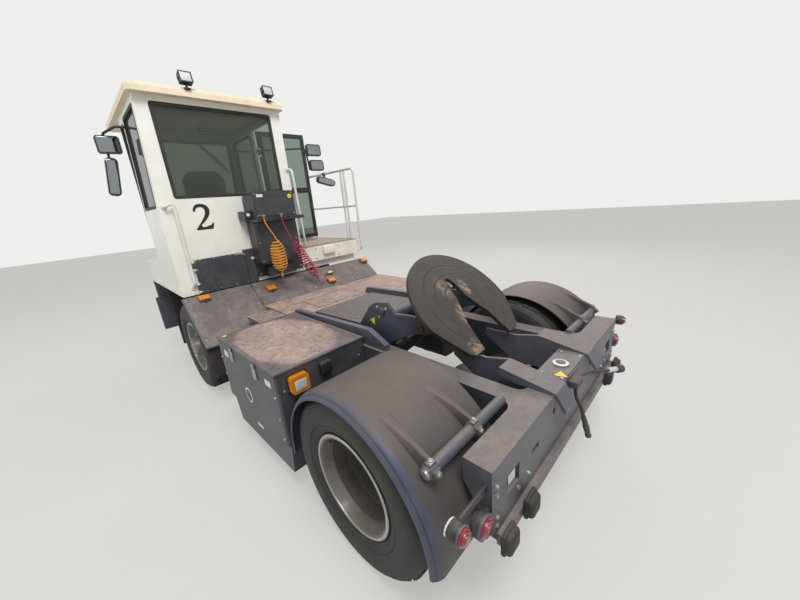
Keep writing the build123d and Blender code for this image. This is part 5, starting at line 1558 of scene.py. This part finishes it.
def dash_dials():
    """A binnacle of dials behind the wheel and switch rows beside it."""
    dials, faces, keys = [], [], []
    for y, radius in ((0.505, 0.034), (0.59, 0.040), (0.675, 0.034)):
        place = upright_to((2.139, y, 1.950), (-1, 0, 0.12))
        dials.append(stud("dial_bezel", [(radius, 0.008), (radius * 0.92, 0.004)], 32, place))
        faces.append(stud("dial_face", [(radius * 0.84, 0.0022)], 32, place, 0.011))
    for k in range(6):
        lie = leaned((2.095, 0.16 - 0.042 * k, 1.905), radians(31))
        keys.append(raised_plate("dash_key", (0.010, 0.030, 0.036), (0, 0, 0), BACK, 0.005, -0.003, 0.002, lie))
    for k in range(4):
        keys.append(raised_plate(
            "console_key", (0.036, 0.028, 0.012), (1.38 + 0.05 * k, 0.215, 1.843), UP, 0.005, -0.003, 0.002))
    fit("dash_dials", dials, plastic_coat, "black_plastic")
    fit("dial_faces", faces, sticker_white, "clear_lens")
    fit("switch_keys", keys, rubber_coat, "black_plastic")


dash_dials()
boot, knob = [(0.030, 0.010), (0.022, 0.012), (0.013, 0.010)], [(0.014, 0.012), (0.019, 0.026), (0.013, 0.010)]
levers = [
    stepped_bar("lever", "Z", (x, y, 1.838), boot + [(0.0065, tall)] + knob, 20)
    for x, y, tall in ((1.60, 0.262, 0.13), (1.70, 0.235, 0.10))
]
fit("console_levers", levers, plastic_coat, "black_plastic")
wheel_place = leaned((1.97, 0.59, 1.99), radians(35))
horn_button = stud("horn_button", [(0.040, 0.008), (0.034, 0.004), (0.020, 0.003)], 28, wheel_place, 0.008)
dress(horn_button, "chassis", sticker_dark, "black_plastic")
lid("cab_lamp", clear_lens, "clear_lens", (0.10, 0.18, 0.034), (1.98, 0.22, 3.0832), DOWN, 0.014, 0.004, 0.008)


def wiper():
    """The windscreen wiper on its spindle above the glass, with its arm and blade."""
    slant = radians(46.6)
    spindle = stepped_bar("wiper_spindle", "X", (-0.004, 0.262, 1.155), [(0.020, 0.014), (0.013, 0.016)], 20)
    arm = block_stock("wiper_arm", (0.008, 0.51, 0.014), (0.022, 0.086, 0.968), (slant, 0, 0))
    trim(arm, FRONT, 0.003, 0.002)
    blade = block_stock("wiper_blade", (0.016, 0.50, 0.016), (0.010, 0.060, 0.900), (slant, 0, 0))
    trim(blade, BACK, 0.004, 0.012)
    yoke = block_stock("wiper_yoke", (0.010, 0.030, 0.075), (0.018, 0.045, 0.915), (slant, 0, 0))
    trim(yoke, FRONT, 0.004, 0.002)
    whole = together("screen_wiper", [spindle, arm, blade, yoke])
    whole.data.transform(leaned((2.52, 0, 1.90), -0.0749))
    return dress(whole, "chassis", plastic_coat, "black_plastic")


wiper()


# Front: lamp rims, side lamps and panel screws

def flat_ring(name, outer, inner, x0, x1, y, z):
    """A ring along X, from a round blank with its middle bridged out."""
    ring = round_stock(name, outer, x1 - x0, ((x0 + x1) / 2, y, z), "X", 40)
    pick(ring, lambda m, n: abs(n.x) > 0.9)
    inset(outer - inner)
    bpy.ops.mesh.bridge_edge_loops()
    put_down()
    soften(ring, 0.003)
    return ring


rings = [flat_ring("headlamp_rim", 0.097, 0.080, 2.598, 2.637, y, 1.045) for y in (-0.9, 0.9)]
fit("headlamp_rims", rings, plastic_coat, "black_plastic")
front_markers = [
    raised_plate("front_marker", (0.026, 0.060, 0.090), (2.611, y, 1.045), FRONT, 0.010, 0.004, 0.006)
    for y in (-1.045, 1.045)
]
fit("front_side_lamps", front_markers, amber_lens, "amber_lens")
rivet_rows("panel_screws", "chassis", [
    ((2.60, side * y, z), FRONT) for side in (1, -1) for y in (0.47, 0.72, 1.15) for z in (0.94, 1.145)
], 0.009, zinc_coat, "chassis_paint")


# Spring fastenings and axle details

def spring_clamps():
    """U-bolts over both springs at the front axle, with their plates and nuts."""
    pieces = []
    for side in (1, -1):
        y = side * 0.4575
        pieces.append(raised_plate(
            "spring_plate", (0.17, 0.115, 0.014), (front_axle_x, y, 0.6135), UP, 0.010, 0.002, 0.003))
        for dx in (-0.065, 0.065):
            for dy in (-0.048, 0.048):
                pieces.append(stepped_bar(
                    "u_bolt", "Z", (front_axle_x + dx, y + dy, 0.440),
                    [(0.0075, 0.010), (0.014, 0.014), (0.008, 0.150), (0.014, 0.016)], 12))
    return fit("spring_clamps", pieces, cast_coat, "cast_steel")


spring_clamps()
axle_pieces = [stepped_bar(
    "axle_breather", "Z", (rear_axle_x, 0.24, 0.60), [(0.012, 0.012), (0.008, 0.016), (0.012, 0.012)], 14)]
axle_pieces += [
    stepped_bar("brake_pot", "X", (-2.03, y, 0.62), [(0.060, 0.02), (0.075, 0.05), (0.070, 0.03), (0.030, 0.03)], 28)
    for y in (0.30, -0.30)
]
fit("axle_details", axle_pieces, cast_coat, "cast_steel")


def valve_stem(body, axle_x, y, angle, out):
    """A tyre valve with its cap, leaning out of the rim."""
    spot = (axle_x + valve_ring_r * cos(angle), y, wheel_z + valve_ring_r * sin(angle))
    place = upright_to(spot, (-0.35 * cos(angle), out, -0.35 * sin(angle)))
    stem = stud("valve", [(0.006, 0.012), (0.004, 0.022), (0.0055, 0.010)], 12, place)
    return dress(stem, body, brass_coat, "brass")


for side, sign in SIDES:
    valve_stem(f"rear_wheel_{side}", rear_axle_x, sign * 1.135, 0.7, sign)
    valve_stem(f"front_wheel_{side}", front_axle_x, sign * 1.115, 0.9, sign)


# Finishes of the carried-over pieces

node_finishes = {
    chassis_coat: ["main_frame", "mudguard_tubes", "front_bumper"],
    head_coat: ["rear_frame"],
    ramp_coat: ["guide_ramps"],
    guard_coat: ["rear_mudguards"],
    deck_coat: ["deck_plates"],
    box_coat: ["side_boxes"],
    boom_coat: ["lift_boom"],
    plate_coat: ["fifth_wheel_plate"],
    cab_coat: ["cab_rear_wall", "cab_left_wall", "cab_right_wall", "cab_front_wall"],
    roof_coat: ["cab_roof"],
    base_coat: ["cab_base"],
    rail_coat: ["hand_rails"],
    cast_coat: ["rear_axle", "front_axle", "front_knuckle_left", "front_knuckle_right"],
    rim_coat: ["rear_rims_left", "rear_rims_right", "front_rim_left", "front_rim_right"],
    engine_coat: ["engine_block"],
    rubber_coat: ["rear_buffers"],
    flap_coat: ["wheel_flaps"],
    plastic_coat: ["door_frame", "mirrors", "steering_wheel", "work_lamps"],
    equipment_coat: ["equipment_box"],
    cover_coat: ["access_cover"],
    inside_coat: ["cab_interior"],
    chrome_coat: ["lift_rods"],
    brass_coat: ["hose_couplings"],
    dark_hose_coat: ["rear_hose_plugs", "lift_barrels", "rear_hose_left", "rear_hose_right"],
    amber_lens: ["amber_lamps"],
    red_lens: ["rear_lamps"],
    clear_lens: ["headlamps"],
    cab_glass_finish: ["cab_glass"],
    door_glass_finish: ["door_glass"],
    tyre_coat: ["rear_tyres_left", "rear_tyres_right", "front_tyre_left", "front_tyre_right"],
    seat_cloth: ["driver_seat"],
    yellow_hose_coat: ["air_line_yellow"],
    red_hose_coat: ["air_line_red"],
}
for finish, names in node_finishes.items():
    for name in names:
        parts[name].data.materials.clear()
        parts[name].data.materials.append(finish)

# The hoses take their finish and their body
for line, coat, slot, node, exit_point, diameter, end, stiff, extras in (
    (yellow_line, yellow_hose_coat, "yellow_hose", "air_line_yellow", yellow_top[0], 2 * hose_r, "connector", "limp",
     [loose_coupling]),
    (red_line, red_hose_coat, "red_hose", "air_line_red", red_top[0], 2 * hose_r, "object", "limp", []),
    (drop_line, dark_hose_coat, "rubber", "rear_hose_left", drop_points[0], 0.02, "connector", "medium", [drop_plug]),
    (side_line, dark_hose_coat, "rubber", "rear_hose_right", side_points[0], 0.02, "connector", "medium",
     [side_plug, side_ring, side_end]),
):
    line.data.materials.append(coat)
    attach(line, "chassis")
    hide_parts(node)
    round(line_length(line), 3)


# Studio

def plain_surface(name, colour, glow):
    """A pale studio surface that shows pale in the picture and keeps the tractor's shadow."""
    finish, tree, shader = new_finish(name)
    cloud = step(tree, (200, 200), noise(tree, (0, 200), 0.8, 4.0, 0.5), 0.2, 0.9)
    tree.links.new(
        blend_of(tree, (450, 200), cloud, tone(*[c - 5 for c in colour]), tone(*colour)), shader.inputs["Base Color"])
    shader.inputs["Roughness"].default_value = 0.85
    shader.inputs["Specular IOR Level"].default_value = 0.15
    pale = lay_node(tree, "ShaderNodeEmission", (500, -400), Color=tone(*colour), Strength=1.0)
    path = lay_node(tree, "ShaderNodeLightPath", (300, 500))
    share = sum_of(tree, (500, 500), "MULTIPLY", path.outputs["Is Camera Ray"], glow)
    mix = lay_node(tree, "ShaderNodeMixShader", (900, 0))
    tree.links.new(share, mix.inputs[0])
    tree.links.new(shader.outputs[0], mix.inputs[1])
    tree.links.new(pale.outputs[0], mix.inputs[2])
    tree.links.new(mix.outputs[0], tree.nodes["Material Output"].inputs["Surface"])
    return finish


def studio():
    """The floor, the pale surround and the soft lamps."""
    let_go()
    bpy.ops.mesh.primitive_plane_add(size=60, location=(0, 0, -0.001))
    floor = bpy.context.object
    floor.name = "studio_floor"
    floor.data.materials.append(plain_surface("studio_floor_paint", (214, 212, 208), 0.62))
    world = bpy.data.worlds.new("studio_surround")
    bpy.context.scene.world = world
    world.use_nodes = True
    tree = world.node_tree
    soft = tree.nodes["Background"]
    soft.inputs["Color"].default_value = (0.93, 0.96, 1.0, 1)
    soft.inputs["Strength"].default_value = 0.60
    seen = lay_node(tree, "ShaderNodeBackground", (0, -200))
    seen.inputs["Color"].default_value = (0.86, 0.86, 0.85, 1)
    seen.inputs["Strength"].default_value = 1.0
    path = lay_node(tree, "ShaderNodeLightPath", (-400, 300))
    either = sum_of(tree, (-200, 300), "MAXIMUM", path.outputs["Is Camera Ray"], path.outputs["Is Glossy Ray"])
    either = sum_of(tree, (-50, 300), "MAXIMUM", either, path.outputs["Is Transmission Ray"])
    mix = lay_node(tree, "ShaderNodeMixShader", (250, 0))
    tree.links.new(either, mix.inputs[0])
    tree.links.new(soft.outputs[0], mix.inputs[1])
    tree.links.new(seen.outputs[0], mix.inputs[2])
    tree.links.new(mix.outputs[0], tree.nodes["World Output"].inputs["Surface"])
    for name, at, aim, size, power in (
        ("window_light", (-4.6, 1.8, 8.6), (-0.4, 0, 0.8), 4.0, 640),
        ("side_light", (4.0, 7.5, 5.0), (0.6, 0, 1.2), 5.0, 150),
        ("back_light", (1.5, -8.0, 6.0), (0, 0, 1.0), 5.0, 220),
    ):
        lamp = bpy.data.lights.new(name, "AREA")
        lamp.shape = "DISK"
        lamp.size = size
        lamp.energy = power
        holder = put_in_scene(name, lamp)
        holder.location = at
        holder.rotation_euler = (Vector(aim) - Vector(at)).to_track_quat("-Z", "Y").to_euler()
    bpy.context.scene.view_settings.view_transform = "Standard"


studio()
